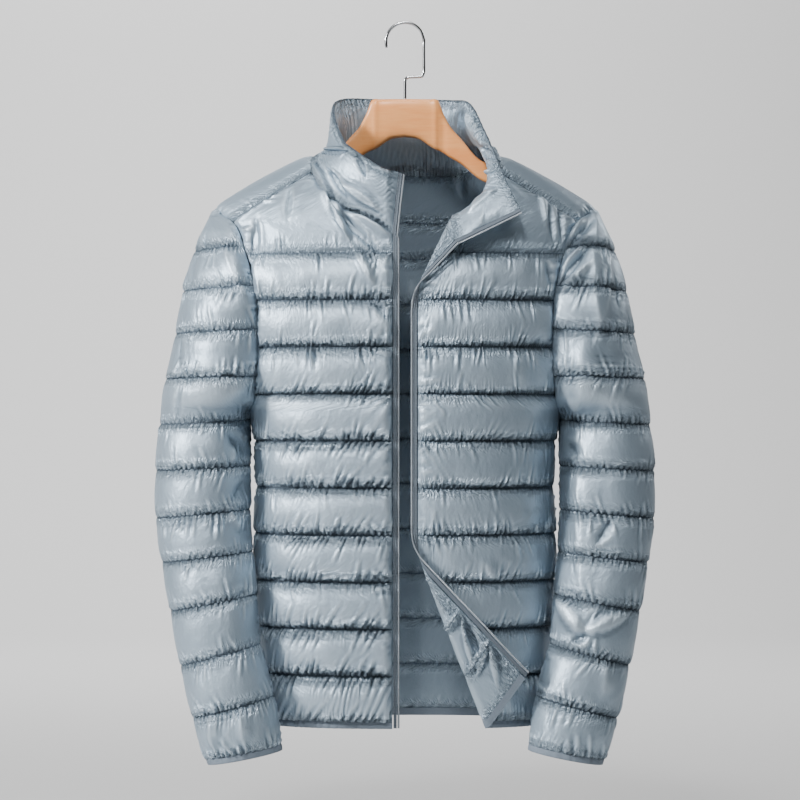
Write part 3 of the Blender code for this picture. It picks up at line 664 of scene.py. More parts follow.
@dataclass(frozen=True)
class Fold:
    """A large soft fold across a piece's front, from one place to another in x and z."""

    start: tuple[float, float]
    end: tuple[float, float]
    height: float
    width: float
    behind: bool = False

    def lift(self, points: Array, outward: Array) -> Array:
        """How far the fold lifts each point.

        A bell over the distance from the line, steeper on one side, dying away past both ends, and
        only where the piece faces the fold's own side.

        Args:
            points: The piece's points.
            outward: Their outward directions.

        Returns:
            The lift, less than 0 in a trough.
        """
        start, line = np.array(self.start), np.array(self.end) - np.array(self.start)
        place = points[..., [0, 2]] - start
        share = place @ line / (line @ line)
        taper = 0.30 + 0.80 * np.sin(np.pi * np.clip(share, 0.02, 0.98)) ** 0.7
        side = (place[..., 0] * line[1] - place[..., 1] * line[0]) / np.linalg.norm(line) / (self.width * taper)
        bell = np.exp(-(np.abs(side * (1 + 0.45 * np.tanh(2 * side))) ** 1.3))
        bell = bell - 0.35 * np.exp(-((side + 2.0) ** 2))
        ends = ramp(-0.08, 0.40, share) * (1 - ramp(0.60, 1.08, share))
        facing = outward[..., 1] if self.behind else -outward[..., 1]
        strength = 2.1 * min(1.0, float(np.linalg.norm(line)) / (9 * self.width)) ** 1.5
        return strength * self.height * bell * ends * ramp(-0.05, 0.35, facing)


def ripples(shape: tuple[int, int], spacing: tuple[float, float], wave: float, slant: float, seed: int) -> Array:
    """Seeded ripples of about one wavelength along the columns, drawn out and slanted down the rows.

    White noise is filtered: its column frequency is kept near 1/wave, and its row frequency, moved by
    the slant, near 0.

    Args:
        shape: Rows and columns.
        spacing: Metres from row to row and from column to column.
        wave: The ripples' wavelength in metres.
        slant: How far a ripple moves across for each metre down.
        seed: The noise's seed.

    Returns:
        Heights with a spread of about 1.
    """
    noise = np.random.default_rng(seed).standard_normal(shape)
    down = np.fft.fftfreq(shape[0], spacing[0])[:, None]
    over = np.fft.rfftfreq(shape[1], spacing[1])[None, :]
    kept = np.exp(-(((over - 1 / wave) / (0.45 / wave)) ** 2)) * np.exp(-(((down + slant * over) / 55.0) ** 2))
    made = np.fft.irfft2(np.fft.rfft2(noise) * kept, shape)
    return made / max(float(made.std()), 1e-9)


def clouds(shape: tuple[int, int], cell: tuple[int, int], seed: int) -> Array:
    """Slow seeded variation from 0 to 1: a small random grid stretched smoothly over the patch.

    Args:
        shape: Rows and columns.
        cell: The random grid's cell, in rows and columns.
        seed: The noise's seed.

    Returns:
        A value for each row and column.
    """
    cells = (max(shape[0] // cell[0], 2), max(shape[1] // cell[1], 2))
    grid = np.random.default_rng(seed).random((cells[0] + 1, cells[1] + 1))
    row, column = np.linspace(0, cells[0], shape[0]), np.linspace(0, cells[1], shape[1])
    low_row, low_column = np.minimum(row.astype(int), cells[0] - 1), np.minimum(column.astype(int), cells[1] - 1)
    t, s = ramp(0, 1, row - low_row)[:, None], ramp(0, 1, column - low_column)[None, :]
    corner = grid[low_row][:, low_column] * (1 - s) + grid[low_row][:, low_column + 1] * s
    below = grid[low_row + 1][:, low_column] * (1 - s) + grid[low_row + 1][:, low_column + 1] * s
    return corner * (1 - t) + below * t


def folds(*rows: tuple[int, ...], behind: bool = False) -> tuple[Fold, ...]:
    """Folds from rows of start x, start z, end x, end z, height and width in tenths of a millimetre."""
    metres = [[value / 10000 for value in row] for row in rows]
    return tuple(Fold((x0, z0), (x1, z1), height, width, behind) for x0, z0, x1, z1, height, width in metres)


FOLDS: dict[str, tuple[Fold, ...]] = {
    "front_right": folds(
        (-1019, -1938, -622, -2710, 26, 50), (-926, -1973, -809, -2464, -18, 35),
        (-704, -2230, -107, -2640, 22, 45), (-622, -2710, -364, -3225, 20, 50),
        (-1745, -2359, -1815, -3014, -20, 45), (-388, -3342, -130, -3646, -16, 50),
        (-1347, -2008, -1394, -2429, -9, 35), (-879, -2230, -247, -2874, -20, 40),
    ),
    "front_left": (
        *folds(
            (1660, -2180, 1730, -2687, -10, 32), (1790, -2166, 1835, -2663, -10, 28),
            (1578, -2038, 1668, -2536, 10, 36), (1473, -1844, 1590, -2172, 16, 45),
            (1636, -2897, 1683, -3225, -12, 40), (876, -6384, 1110, -6735, 12, 60),
            (1578, -3751, 1461, -3927, -10, 40),
        ),
        *folds(
            (630, -6969, 440, -7220, -16, 40), (640, -6969, 800, -7460, 14, 50),
            (960, -7273, 740, -7700, -18, 45), (960, -7273, 1150, -7560, 14, 45),
            (645, -6990, 790, -7650, -22, 28), (965, -7290, 830, -7740, -22, 26),
            (965, -7290, 1090, -7900, -20, 28), (690, -7150, 930, -7560, 16, 30),
            behind=True,
        ),
    ),
    "sleeve_left": folds(
        (1847, -1960, 1900, -2536, -20, 26), (1990, -2040, 1930, -2500, -18, 26),
        (2060, -2070, 1900, -2530, 16, 30), (2140, -2150, 1890, -2600, -20, 28),
        (2200, -2260, 1860, -2700, 16, 30), (2210, -2400, 1850, -2780, -22, 32),
        (2190, -2600, 1850, -3000, 14, 32), (2130, -2760, 1800, -3190, -22, 36),
        (2186, -2897, 1835, -3248, 16, 40), (2222, -2172, 2257, -3868, 30, 90),
        (2081, -3751, 2081, -4746, 16, 110), (2093, -4980, 2081, -6852, 16, 110),
        (1800, -6852, 2093, -7273, 30, 60), (2116, -7250, 2608, -6992, 26, 60),
        (2163, -7226, 1952, -7343, -30, 40), (2432, -5857, 2233, -6220, -12, 40),
        (1952, -4980, 2093, -5237, -18, 50), (2339, -7495, 2257, -8022, 12, 70),
        (1765, -3342, 1718, -3576, -20, 40), (1952, -4453, 2069, -4652, 18, 50),
    ),
    "sleeve_right": folds(
        (-2166, -2640, -1897, -3342, 17, 70), (-2447, -2464, -2482, -3225, -8, 40),
        (-2611, -3751, -2646, -4278, -7, 30), (-2622, -4336, -2657, -4804, -7, 30),
        (-2119, -4886, -1862, -5331, -17, 60), (-2026, -4980, -2072, -5272, 13, 45),
        (-1932, -5448, -2072, -5740, -18, 60), (-2119, -5740, -1955, -6091, 12, 50),
        (-1862, -5916, -1815, -7086, 9, 80), (-2026, -6829, -1862, -6758, -14, 40),
        (-2236, -8022, -2213, -8584, 12, 50), (-2049, -4453, -1838, -4278, 11, 50),
        (-1932, -8022, -1885, -8548, 10, 50), (-1979, -4746, -1815, -4512, -11, 50),
    ),
    "collar": (
        *folds(
            (-1090, -1704, -832, -2230, 39, 34), (-973, -1610, -645, -1587, -44, 25),
            (-879, -1798, -645, -2172, -31, 30), (-704, -2266, -154, -2523, -34, 30),
            (-762, -1938, -236, -2347, 26, 45), (-560, -1600, -440, -1900, -26, 23),
            (-364, -1704, -154, -1891, 23, 37),
        ),
        *folds(
            (665, -1891, 1063, -1844, -31, 25), (689, -1985, 993, -1938, 26, 30),
            (665, -1330, 876, -1821, 26, 37), (853, -1470, 1110, -1704, 29, 45),
            (759, -1060, 946, -1470, -29, 30), (736, -2347, 1110, -2055, -16, 37),
            behind=True,
        ),
        *folds(
            (-762, -1177, -645, -1587, 26, 30),
        ),
    ),
    "back": folds(
        (-1500, -2000, -1180, -3000, 24, 60), (-1900, -2350, -1500, -2750, -26, 45),
        (-1750, -2250, -1650, -2900, 20, 50), (1500, -2000, 1240, -3100, 22, 60),
        (1880, -2350, 1520, -2850, -26, 45), (1720, -2250, 1680, -2800, 20, 50),
        (-600, -1550, -750, -2150, -20, 50), (500, -1500, 700, -2100, -20, 50),
        (-1200, -4300, -900, -4700, -14, 60), (1300, -6000, 1000, -6600, -14, 60),
        (0, -3000, 300, -3500, -10, 60),
        behind=True,
    ),
}


@dataclass(frozen=True)
class Spring:
    """Pairs of grid points held a distance apart: where both ends lie, their rest and their shares."""

    first: tuple[slice, slice]
    second: tuple[slice, slice]
    rest: Array
    first_share: Array
    second_share: Array


@dataclass(frozen=True)
class Settling:
    """How the cloth is settled."""

    steps: int = 60
    sweeps: int = 2
    push: float = 0.00030
    hold: float = 0.95
    shear: float = 0.6
    bending: float = 0.02
    keep_speed: float = 0.80
    below_floor: float = -0.0004
    over_target: float = 1.25
    over_room: float = 0.0016


class ClothSolver:
    """Settles a patch's spare cloth over it with position-based springs in a grid."""

    def __init__(self, patch: Patch, settling: Settling, wall: float) -> None:
        """Cuts the cloth and lays it out.

        Rest lengths are the wall surface's own, made longer by the spare share along and across the
        stitch lines; the diagonals follow from them and from the slant.

        Args:
            patch: The piece to cover.
            settling: Steps, push and stiffness.
            wall: How far the stitched cloth lies from the plain points.
        """
        self.settling = settling
        self.patch = patch
        shape, seed = patch.sewn.shape, patch.seed
        self.floor = (patch.points + patch.outward * wall).astype(np.float32)
        self.outward = patch.outward.astype(np.float32)
        self.free = np.where(patch.sewn, 0.0, 1.0).astype(np.float32)
        over = np.linalg.norm(np.diff(self.floor, axis=1), axis=-1)
        down = np.linalg.norm(np.diff(self.floor, axis=0), axis=-1)
        uneven = clouds(shape, (20, 18), seed)
        along = 1 + patch.gathers * (0.25 + 1.50 * uneven)
        rise_over, rise_down = np.diff(patch.room, axis=1) / over, np.diff(patch.room, axis=0) / down
        spare_over = over * (np.sqrt(1 + (1.1 * rise_over) ** 2) - 1)
        self.over = over * (along[:, 1:] + along[:, :-1]) / 2 + spare_over
        self.down = down * (np.sqrt(1 + (1.1 * rise_down) ** 2) + patch.spare_across)
        lean = patch.slant * (2 * clouds(shape, (40, 60), seed + 7) - 1)
        self.cosine = np.clip(self._corner_cosine() + lean[1:, 1:], -0.9, 0.9)
        spacing = (float(np.median(down)), float(np.median(over)))
        tall = 0.70 + 0.30 * clouds(shape, (20, 40), seed + 3)
        fine = ripples(shape, spacing, 0.0060, 0.55, seed + 11)
        broad = ripples(shape, spacing, 0.0100, -0.45, seed + 12)
        noise = fine * uneven + broad * (1 - uneven)
        height = patch.room * tall + noise * (0.00003 + 0.0080 * patch.gathers) * (patch.room > 0.0002)
        height = np.where(patch.sewn, noise * 0.00030, height)
        swell = clouds(shape, (9, 22), seed + 5)
        self.target = (patch.room * (0.95 + 0.36 * swell)).astype(np.float32)
        self.cloth = self.floor + self.outward * height.astype(np.float32)[..., None]
        self.before = self.cloth.copy()
        self.springs = self._springs()

    def _corner_cosine(self) -> Array:
        """Cosine between each cell's column and row directions."""
        over, down = np.diff(self.floor, axis=1)[1:], np.diff(self.floor, axis=0)[:, 1:]
        return (unit(over) * unit(down)).sum(axis=-1)

    def _spring(self, at: tuple[slice, slice], step: tuple[int, int], rest: Array) -> Spring:
        """Springs from the points at a pair of slices to those one step on.

        Args:
            at: Slices of the rows and the columns.
            step: Rows and columns from one end of a spring to the other.
            rest: The rest lengths.

        Returns:
            The springs, with each end's share of the movement.
        """
        rows, columns = self.free.shape

        def moved(part: slice, by: int, size: int) -> slice:
            """The slice moved on by a number of places."""
            return slice(part.start + by, (size if part.stop is None else part.stop) + by, part.step)

        second = (moved(at[0], step[0], rows), moved(at[1], step[1], columns))
        one, two = self.free[at], self.free[second]
        both = np.maximum(one + two, 1e-6)
        return Spring(at, second, rest.astype(np.float32), one / both, two / both)

    def _springs(self) -> list[tuple[Spring, float]]:
        """Lays springs along the rows, down the columns, over both diagonals and past every second point.

        Returns:
            The springs with their stiffness, in groups whose pairs share no point.
        """
        rows, columns = self.free.shape
        hold, bending = self.settling.hold, self.settling.bending
        shear = hold * self.settling.shear
        made: list[tuple[Spring, float]] = []
        for odd in (0, 1):
            part = slice(odd, columns - 1, 2)
            made.append((self._spring((slice(0, rows), part), (0, 1), self.over[:, part]), hold))
            part = slice(odd, rows - 1, 2)
            made.append((self._spring((part, slice(0, columns)), (1, 0), self.down[part]), hold))
        a, b = self.over[1:] * 0.5 + self.over[:-1] * 0.5, self.down[:, 1:] * 0.5 + self.down[:, :-1] * 0.5
        falling = np.sqrt(a * a + b * b + 2 * a * b * self.cosine)
        rising = np.sqrt(a * a + b * b - 2 * a * b * self.cosine)
        for odd in (0, 1):
            part = slice(odd, rows - 1, 2)
            made.append((self._spring((part, slice(0, columns - 1)), (1, 1), falling[part]), shear))
            made.append((self._spring((part, slice(1, columns)), (1, -1), rising[part]), shear))
        wide, tall = self.over[:, 1:] + self.over[:, :-1], self.down[1:] + self.down[:-1]
        for start in range(4):
            part = slice(start, columns - 2, 4)
            made.append((self._spring((slice(0, rows), part), (0, 2), wide[:, part]), bending))
            part = slice(start, rows - 2, 4)
            made.append((self._spring((part, slice(0, columns)), (2, 0), tall[part]), bending))
        return made

    def _height(self) -> Array:
        """How far the cloth stands off the floor."""
        return np.einsum("ijk,ijk->ij", self.cloth - self.floor, self.outward)

    def _pull(self, spring: Spring, stiffness: float) -> None:
        """Moves both ends of each pair towards its rest length.

        Args:
            spring: The pairs.
            stiffness: The share of the difference that is made up.
        """
        first, second = self.cloth[spring.first], self.cloth[spring.second]
        gap = second - first
        length = np.sqrt(np.einsum("ijk,ijk->ij", gap, gap)) + 1e-7
        gap *= (stiffness * (length - spring.rest) / length)[..., None]
        first += gap * spring.first_share[..., None]
        second -= gap * spring.second_share[..., None]

    def settle(self) -> Array:
        """Runs the steps: momentum, the filling's push, the springs, then the floor and the ceiling.

        Returns:
            The settled cloth's points.
        """
        chosen = self.settling
        room = np.maximum(self.target, 1e-5)
        for _ in range(chosen.steps):
            push = chosen.push * np.clip((self.target - self._height()) / room, -1.0, 1.0) * self.free
            speed = (self.cloth - self.before) * (chosen.keep_speed * self.free)[..., None]
            self.before = self.cloth.copy()
            self.cloth += speed + self.outward * push[..., None]
            for _ in range(chosen.sweeps):
                for spring, stiffness in self.springs:
                    self._pull(spring, stiffness)
            height = self._height()
            ceiling = self.target * chosen.over_target + chosen.over_room
            lift = np.clip(height, chosen.below_floor, ceiling) - height
            self.cloth += self.outward * (lift * self.free)[..., None]
        laid = self.patch.crease + self.patch.pleats
        return self.cloth.astype(float) + self.patch.outward * laid[..., None]


@dataclass(frozen=True)
class Detail:
    """How finely the quilted pieces are worked out."""

    channel_rows: int = 20
    spacing: float = 0.0012
    row_spacing: float = 0.0023
    settling: Settling = field(default_factory=Settling)

    def columns(self, width: float, coarseness: float = 1.0) -> int:
        """An even number of columns over a width, further apart by the coarseness."""
        return 2 * int(round(width / (self.spacing * coarseness) / 2))

    def rows(self, height: float) -> int:
        """An even number of rows over a height."""
        return 2 * int(round(height / self.row_spacing / 2))


def detail_level() -> Detail:
    """The fine pieces."""
    return Detail()


def line_rows(detail: Detail, lines: int, rising: bool = True) -> tuple[Array, Array]:
    """Where the rows lie, closer together by the stitching, and how high each is puffed.

    The puff is sin(pi f^0.78)^0.6 at the fraction f up a channel, so that it sags.

    Args:
        detail: Gives the rows in each channel.
        lines: How many channels there are.
        rising: True where the rows run up the piece.

    Returns:
        The rows' places, counted in channels, and their puffs from 0 to 1.
    """
    even = np.arange(lines * detail.channel_rows + 1) / detail.channel_rows
    places = even - 0.075 * np.sin(2 * np.pi * even)
    up = places - np.floor(places + 1e-9) if rising else np.ceil(places - 1e-9) - places
    return places, np.maximum(np.sin(np.pi * np.clip(up, 0, 1) ** 0.78), 0) ** 0.6


def border_fade(points: Array, width: float) -> Array:
    """0 at a grid's first and last columns, 1 beyond a width from both."""
    length = arc_lengths(points, axis=1)
    return np.sqrt(ramp(0, width, length) * ramp(0, width, length[:, -1:] - length))


def stitching(points: Array, *rows: slice | int) -> tuple[Array, Array]:
    """Marks the stitched rows and both side borders, and measures how far the points are from the rows.

    Args:
        points: The grid's points.
        *rows: The stitched rows.

    Returns:
        True on stitched points, and the metres down the columns to the nearest stitched row.
    """
    sewn = np.zeros(points.shape[:2], bool)
    for row in rows:
        sewn[row] = True
    length = arc_lengths(points, axis=0)
    lines = np.flatnonzero(sewn[:, 0])
    sewn[:, 0] = sewn[:, -1] = True
    return sewn, np.abs(length[:, None, :] - length[None, lines, :]).min(axis=1)


def panel_gathers(gap: Array, lowest: Array, usual: tuple[float, float], seed: int) -> Array:
    """The share of spare cloth over a panel, with deeper gathers in its lowest channel.

    Args:
        gap: Metres from each point to the stitching.
        lowest: True on the rows of the lowest channel.
        usual: The amount and the reach of the gathers in the other channels.
        seed: The noise's seed.

    Returns:
        The share for each point.
    """
    return np.where(lowest, gathered(gap, *LOW_GATHERS, seed), gathered(gap, *usual, seed))


@dataclass(frozen=True)
class FrontPanel:
    """One quilted front, from the hem seam to the neck and the yoke seam."""

    form: JacketForm
    side: Side
    detail: Detail
    puff: float = 0.0085
    top_puff: float = 0.0050
    top_rows: tuple[float, float] = (HEM_SEAM_Z + CHANNELS * PITCH, -0.1835)
    top_fineness: float = 1.15
    edge_rise: float = 0.0225
    left_share: float = 0.85
    right_width: float = 0.215
    left_width: float = 0.230

    def patch(self) -> Patch:
        """The front's plain points: rows at even heights, columns at even angles between its seams.

        Returns:
            The patch, with its outside on the form's outside.
        """
        places, raised = line_rows(self.detail, CHANNELS)
        top_height = self.top_rows[1] - self.top_rows[0]
        count = 2 * int(round(top_height / self.detail.row_spacing * self.top_fineness / 2))
        top = np.linspace(*self.top_rows, count + 1)[1:]
        z = np.concatenate([HEM_SEAM_Z + PITCH * places, top])
        start, end = self.form.front_limits(z)
        width = self.right_width if self.side is Side.RIGHT else self.left_width
        share = np.linspace(0, 1, self.detail.columns(width) + 1)
        first, last = self.form.angle_at(start, z)[:, None], self.form.angle_at(end, z)[:, None]
        angles = first * (1 - share) + last * share
        x = self.form.across(angles, z[:, None])
        points, beyond = self.form.front(x, np.broadcast_to(z[:, None], x.shape), self.side)
        low = top - self.top_rows[0]
        bulge = np.sqrt(ramp(0, 0.050, low)) * (1 - 0.9 * ramp(0.060, 0.092, low))
        heights = np.concatenate([self.puff * raised, self.top_puff * bulge])[:, None]
        room = heights * border_fade(points, 0.009) * (1 - 0.55 * ramp(*SIDE_SQUASH, angles))
        sewn, gap = stitching(points, slice(0, len(places), self.detail.channel_rows), -1)
        if self.side is Side.LEFT:
            room = room * self.left_share
            room = room * np.where(beyond > 0, 0.28, 0.30 + 0.70 * ramp(0.0, 0.030, -beyond))
            room = room * (0.6 + 0.4 * ramp(0, self.edge_rise, x - start[:, None]))
        seed = 21 if self.side is Side.LEFT else 11
        gathers = panel_gathers(gap, (z < HEM_SEAM_Z + PITCH)[:, None], BODY_GATHERS, seed)
        gathers = gathers * (1 - 0.6 * ramp(self.top_rows[1] - 0.030, self.top_rows[1], z)[:, None])
        long_lines = ((0, 1, 0.05), (1, -1, 0.10), (4, 1, -0.15), (8, -1, 0.05), (11, -1, 0.10))
        if self.side is Side.RIGHT:
            leaning = tuple((line, 1, -0.55) for line in range(8))
            long_lines = (*leaning, (1, -1, 0.50), (2, -1, 0.45), (4, -1, 0.45), (6, -1, 0.40), (11, -1, 0.10))
        made = Patch(points, sewn, room, gap, gathers, seed=seed, long_lines=long_lines)
        return made if self.side is Side.LEFT else made.flipped()


@dataclass(frozen=True)
class BackPanel:
    """The quilted back, which runs over both shoulders to the yoke seams."""

    form: JacketForm
    detail: Detail
    puff: float = 0.0085
    upper: Table = table(
        "share raised",
        (0.00, 0.00),
        (0.09, 0.75),
        (0.18, 1.00),
        (0.28, 0.75),
        (0.36, 0.00),
        (0.48, 0.55),
        (0.60, 0.50),
        (0.72, 0.42),
        (0.84, 0.35),
        (0.93, 0.22),
        (1.00, 0.00),
    )
    upper_length: float = 0.215
    upper_line: float = 0.36
    width: float = 0.43
    coarseness: float = 1.42

    def patch(self) -> Patch:
        """The back's plain points.

        Below the last long channel a row has one height and even angles. Above it the rows blend from
        that channel's line to the border, in x and in the arch angle over the shoulder.

        Returns:
            The patch.
        """
        form, columns = self.form, self.detail.columns(self.width, self.coarseness)
        share = np.linspace(-1, 1, columns + 1)
        places, raised = line_rows(self.detail, CHANNELS)
        z = (HEM_SEAM_Z + PITCH * places)[:, None]
        side = np.where(z < UNDERARM_Z, 90.0, ARMHOLE.at("back", z))
        angles = np.abs(share) * side
        x = np.sign(share) * form.across(angles, z)
        lower = form.back_point(x, np.broadcast_to(z, x.shape))
        count = self.detail.rows(self.upper_length)
        line_row = int(round(self.upper_line * count))
        up = np.linspace(0, 1, count + 1)[1:, None]
        foot_x, foot_arch = x[-1], form.arch_at(x[-1], z[-1])
        top_x, top_arch = form.back_border(np.abs(share))
        side_x, side_arch = form.back_side(up)
        end_x = side_x - ((1 - up) * foot_x[-1] + up * top_x[-1])
        end_arch = side_arch - ((1 - up) * foot_arch[-1] + up * top_arch[-1])
        upper_x = (1 - up) * foot_x + up * np.sign(share) * top_x + share * end_x
        upper_arch = (1 - up) * foot_arch + up * top_arch + np.abs(share) ** 3 * end_arch
        points = np.concatenate([lower, form.arch_point(upper_x, upper_arch)])
        points[..., 0] -= np.sign(share) * GAP * (np.abs(share) == 1)
        squash = np.concatenate([1 - 0.55 * ramp(*SIDE_SQUASH, angles), np.ones_like(upper_x)])
        heights = np.concatenate([raised, self.upper.at("raised", up[:, 0])])
        room = self.puff * np.clip(heights, 0, 1)[:, None] * border_fade(points, 0.010) * squash
        long_channels = slice(0, len(places), self.detail.channel_rows)
        sewn, gap = stitching(points, long_channels, len(places) - 1 + line_row, -1)
        gathers = panel_gathers(gap, np.concatenate([places < 1, up[:, 0] < 0])[:, None], BODY_GATHERS, 31)
        gathers = gathers * np.concatenate([0 * places + 1, 1 - 0.8 * ramp(0.45, 0.70, up[:, 0])])[:, None]
        long_lines = ((0, 1, 0.05), (1, -1, 0.10), (4, 1, 0.30), (7, 1, -0.30))
        return Patch(points, sewn, room, gap, gathers, seed=31, long_lines=long_lines).flipped()


@dataclass(frozen=True)
class Sleeve:
    """A quilted sleeve: an oval tube, open at the armhole and cuff, sewn along the underarm."""

    form: JacketForm
    side: Side
    detail: Detail
    puff: float = 0.0052
    line_count: int = 12
    underarm_line: float = 4.8
    blend: float = 0.45
    width: float = 0.36
    coarseness: float = 1.2

    def grid(self, lines: Array, columns: int) -> tuple[Array, Array, int]:
        """The left sleeve's plain points, columns from the back round the outside to the front.

        A row is part of an oval round the arm. Above the underarm its ends are drawn to the armhole's
        edge by the cube of the share; below it the ends meet, and that pull dies away.

        Args:
            lines: Row places in channels, from 0 at the shoulder tip to 12 at the cuff.
            columns: How many cells each row has.

        Returns:
            The points, each point's angle round the arm, and the first row that is closed.
        """
        form, share = self.form, np.linspace(0, 1, columns + 1)
        rows = {name: SLEEVE.at(name, lines) for name in SLEEVE.names}
        outside = np.stack([rows["out_x"], rows["mid_y"], rows["out_z"]], axis=-1)
        middle = (outside + np.stack([rows["in_x"], rows["mid_y"], rows["in_z"]], axis=-1)) / 2
        half = outside - middle
        length = np.linalg.norm(half, axis=1)
        open_rows = lines < self.underarm_line
        nearly = ramp(self.underarm_line - 1.3, self.underarm_line, lines)
        arm_z = np.where(open_rows, np.maximum(rows["in_z"], UNDERARM_Z), UNDERARM_Z)
        ends, turns = [], []
        for face, sign in ((Face.BACK, 1), (Face.FRONT, -1)):
            x = form.across(ARMHOLE.at(face.value, arm_z), arm_z)
            end = np.stack([x + ARMHOLE_GAP, sign * form.depth_at(x, arm_z, face), arm_z], axis=-1)
            along = ((end - middle) * half).sum(axis=1) / length**2
            turn = np.arctan2(np.abs(end[:, 1] - rows["mid_y"]) / rows["depth"], along)
            ends.append(end)
            turns.append(turn * (1 - nearly) + np.pi * nearly)
        angles = -turns[0][:, None] * (1 - share) + turns[1][:, None] * share
        deep = np.stack([0 * lines, -rows["depth"], 0 * lines], axis=-1)

        def oval(turn: Array) -> Array:
            """Points at angles round the arm."""
            across_arm = half[:, None] * np.cos(turn)[..., None]
            return middle[:, None] + across_arm + deep[:, None] * np.sin(turn)[..., None]

        points = oval(angles)
        fade = np.where(open_rows, 1.0, np.exp(-(lines - self.underarm_line) / self.blend))
        sewn = int(np.argmax(~open_rows))
        pulls = ((ends[0], angles[:, :1], (1 - share) ** 3), (ends[1], angles[:, -1:], share**3))
        for end, turn, pull in pulls:
            miss = end - oval(turn)[:, 0]
            miss = np.where(open_rows[:, None], miss, miss[sewn])
            points = points + (miss * fade[:, None])[:, None] * pull[None, :, None]
        near = np.exp(-(((lines - self.underarm_line) / self.blend) ** 2))[:, None, None]
        edges = ramp(0, 0.12, share) * ramp(0, 0.12, 1 - share)
        points = points + (soften(points, 60) - points) * near * edges[None, :, None]
        return points, angles, sewn

    def mirrored(self, points: Array) -> Array:
        """The left sleeve's points on this sleeve's side."""
        return points * np.array([self.side.value, 1, 1])

    def patch(self) -> Patch:
        """The sleeve's plain points, with its outside on the arm's outside.

        Returns:
            The patch.
        """
        lines, raised = line_rows(self.detail, self.line_count, rising=False)
        lines[0], raised[0] = 0.05, 0.0
        columns = self.detail.columns(self.width, self.coarseness)
        points, angles, sewn_from = self.grid(lines, columns)
        inside = ramp(105, 160, np.degrees(np.abs(angles)))
        fade = np.where((np.arange(len(lines)) < sewn_from)[:, None], border_fade(points, 0.012), 1.0)
        outside = 1 - 0.55 * np.exp(-((angles / np.radians(34)) ** 2))
        head = 0.4 + 0.6 * ramp(0.1, 0.9, lines)[:, None]
        room = self.puff * raised[:, None] * fade * (1 - 0.6 * inside) * outside * head
        sewn, gap = stitching(points, slice(None, None, self.detail.channel_rows))
        seed = 41 if self.side is Side.LEFT else 43
        gathers = panel_gathers(gap, (lines > self.line_count - 1)[:, None], SLEEVE_GATHERS, seed)
        long_lines = ((11, 1, 0.05), (12, -1, 0.05), (4, -1, 0.30), (7, 1, -0.20))
        made = Patch(self.mirrored(points), sewn, room, gap, gathers, seed=seed, long_lines=long_lines)
        return made if self.side is Side.LEFT else made.flipped()


@dataclass(frozen=True)
class Collar:
    """The quilted stand collar, from zip to zip, its left end flared outwards."""

    form: JacketForm
    detail: Detail
    puff: float = 0.0062
    height: float = 0.090
    width: float = 0.54
    coarseness: float = 1.2

    def grid(self, rows: int, columns: int) -> tuple[Array, Array]:
        """Plain points up from the neck seam, right end to left end.

        Each column is a straight line from the seam to the top edge, bowed out by 4 b h (1 - h).

        Args:
            rows: Cells up the collar.
            columns: Cells along it.

        Returns:
            The points and the columns' shares.
        """
        share = np.linspace(0, 1, columns + 1)
        base = resample(self.form.neck_seam(), share)
        top = np.stack([COLLAR_TOP.at(name, share) for name in ("x", "y", "z")], axis=-1)
        up = unit(top - base)
        turned = ramp(0.66, 0.74, share) * (1 - ramp(0.90, 0.98, share))
        base = base + up * (COLLAR_LIFT + LAPEL_LIFT * turned)[:, None]
        height = np.linspace(0, 1, rows + 1)[:, None, None]
        out = -unit(np.cross(np.gradient(base, axis=0), up))
        bulge = COLLAR_TOP.at("bulge", share)[:, None]
        return base * (1 - height) + top * height - out * bulge * 4 * height * (1 - height), share

    def patch(self) -> Patch:
        """The collar's plain points, its outside away from the neck.

        Returns:
            The patch.
        """
        rows = self.detail.rows(self.height)
        points, share = self.grid(rows, self.detail.columns(self.width, self.coarseness))
        height = np.linspace(0, 1, rows + 1)[:, None]
        leaning = 1 - ramp(0.55, 0.70, share) * (1 - ramp(0.05, 0.5, height))
        raised = np.sin(np.pi * height) ** 0.6 * leaning
        sewn, gap = stitching(points, 0, -1)
        room = self.puff * raised * border_fade(points, 0.012)
        return Patch(points, sewn, room, gap, gathered(gap, 0.18, 0.012, 51), seed=51).flipped()


@dataclass(frozen=True)
class Grid:
    """A grid of points with what its vertices carry."""

    points: Array
    stitch_gap: Array

    def relief(self, outside: bool) -> Array:
        """How each point lies to its softened surroundings: 0 on a sharp crest, 0.5 level, 1 in a crease.

        Args:
            outside: True where the grid is seen from the side that its normals point to.

        Returns:
            A value for each point.
        """
        around = soften(self.points, 9)
        depth = ((around - self.points) * normals(around)).sum(axis=-1)
        return np.clip(0.5 + (depth if outside else -depth) / RELIEF_DEPTH, 0, 1)

    @property
    def index(self) -> Array:
        """Each point's number, in rows and columns."""
        return np.arange(self.points[..., 0].size).reshape(self.points.shape[:2])

    @property
    def rim(self) -> Array:
        """Indices round the border, in the order of the cells' own corners."""
        index = self.index
        return np.concatenate([index[0, :-1], index[:-1, -1], index[-1, :0:-1], index[:0:-1, 0]])

    @property
    def cells(self) -> Array:
        """Four corners of each cell."""
        return cell_corners(self.index)

    @property
    def pattern(self) -> Array:
        """Metres along the rows and down the columns, as a sewing pattern."""
        across, down = arc_lengths(self.points, axis=1), arc_lengths(self.points, axis=0)
        middle = down[:, [down.shape[1] // 2]] + np.zeros_like(across)
        return np.stack([across, middle], axis=-1).reshape(-1, 2)


def placed(name: str, data: bpy.types.ID) -> Thing:
    """An object with this data, linked to the scene."""
    made = bpy.data.objects.new(name, data)
    bpy.context.scene.collection.objects.link(made)
    return made


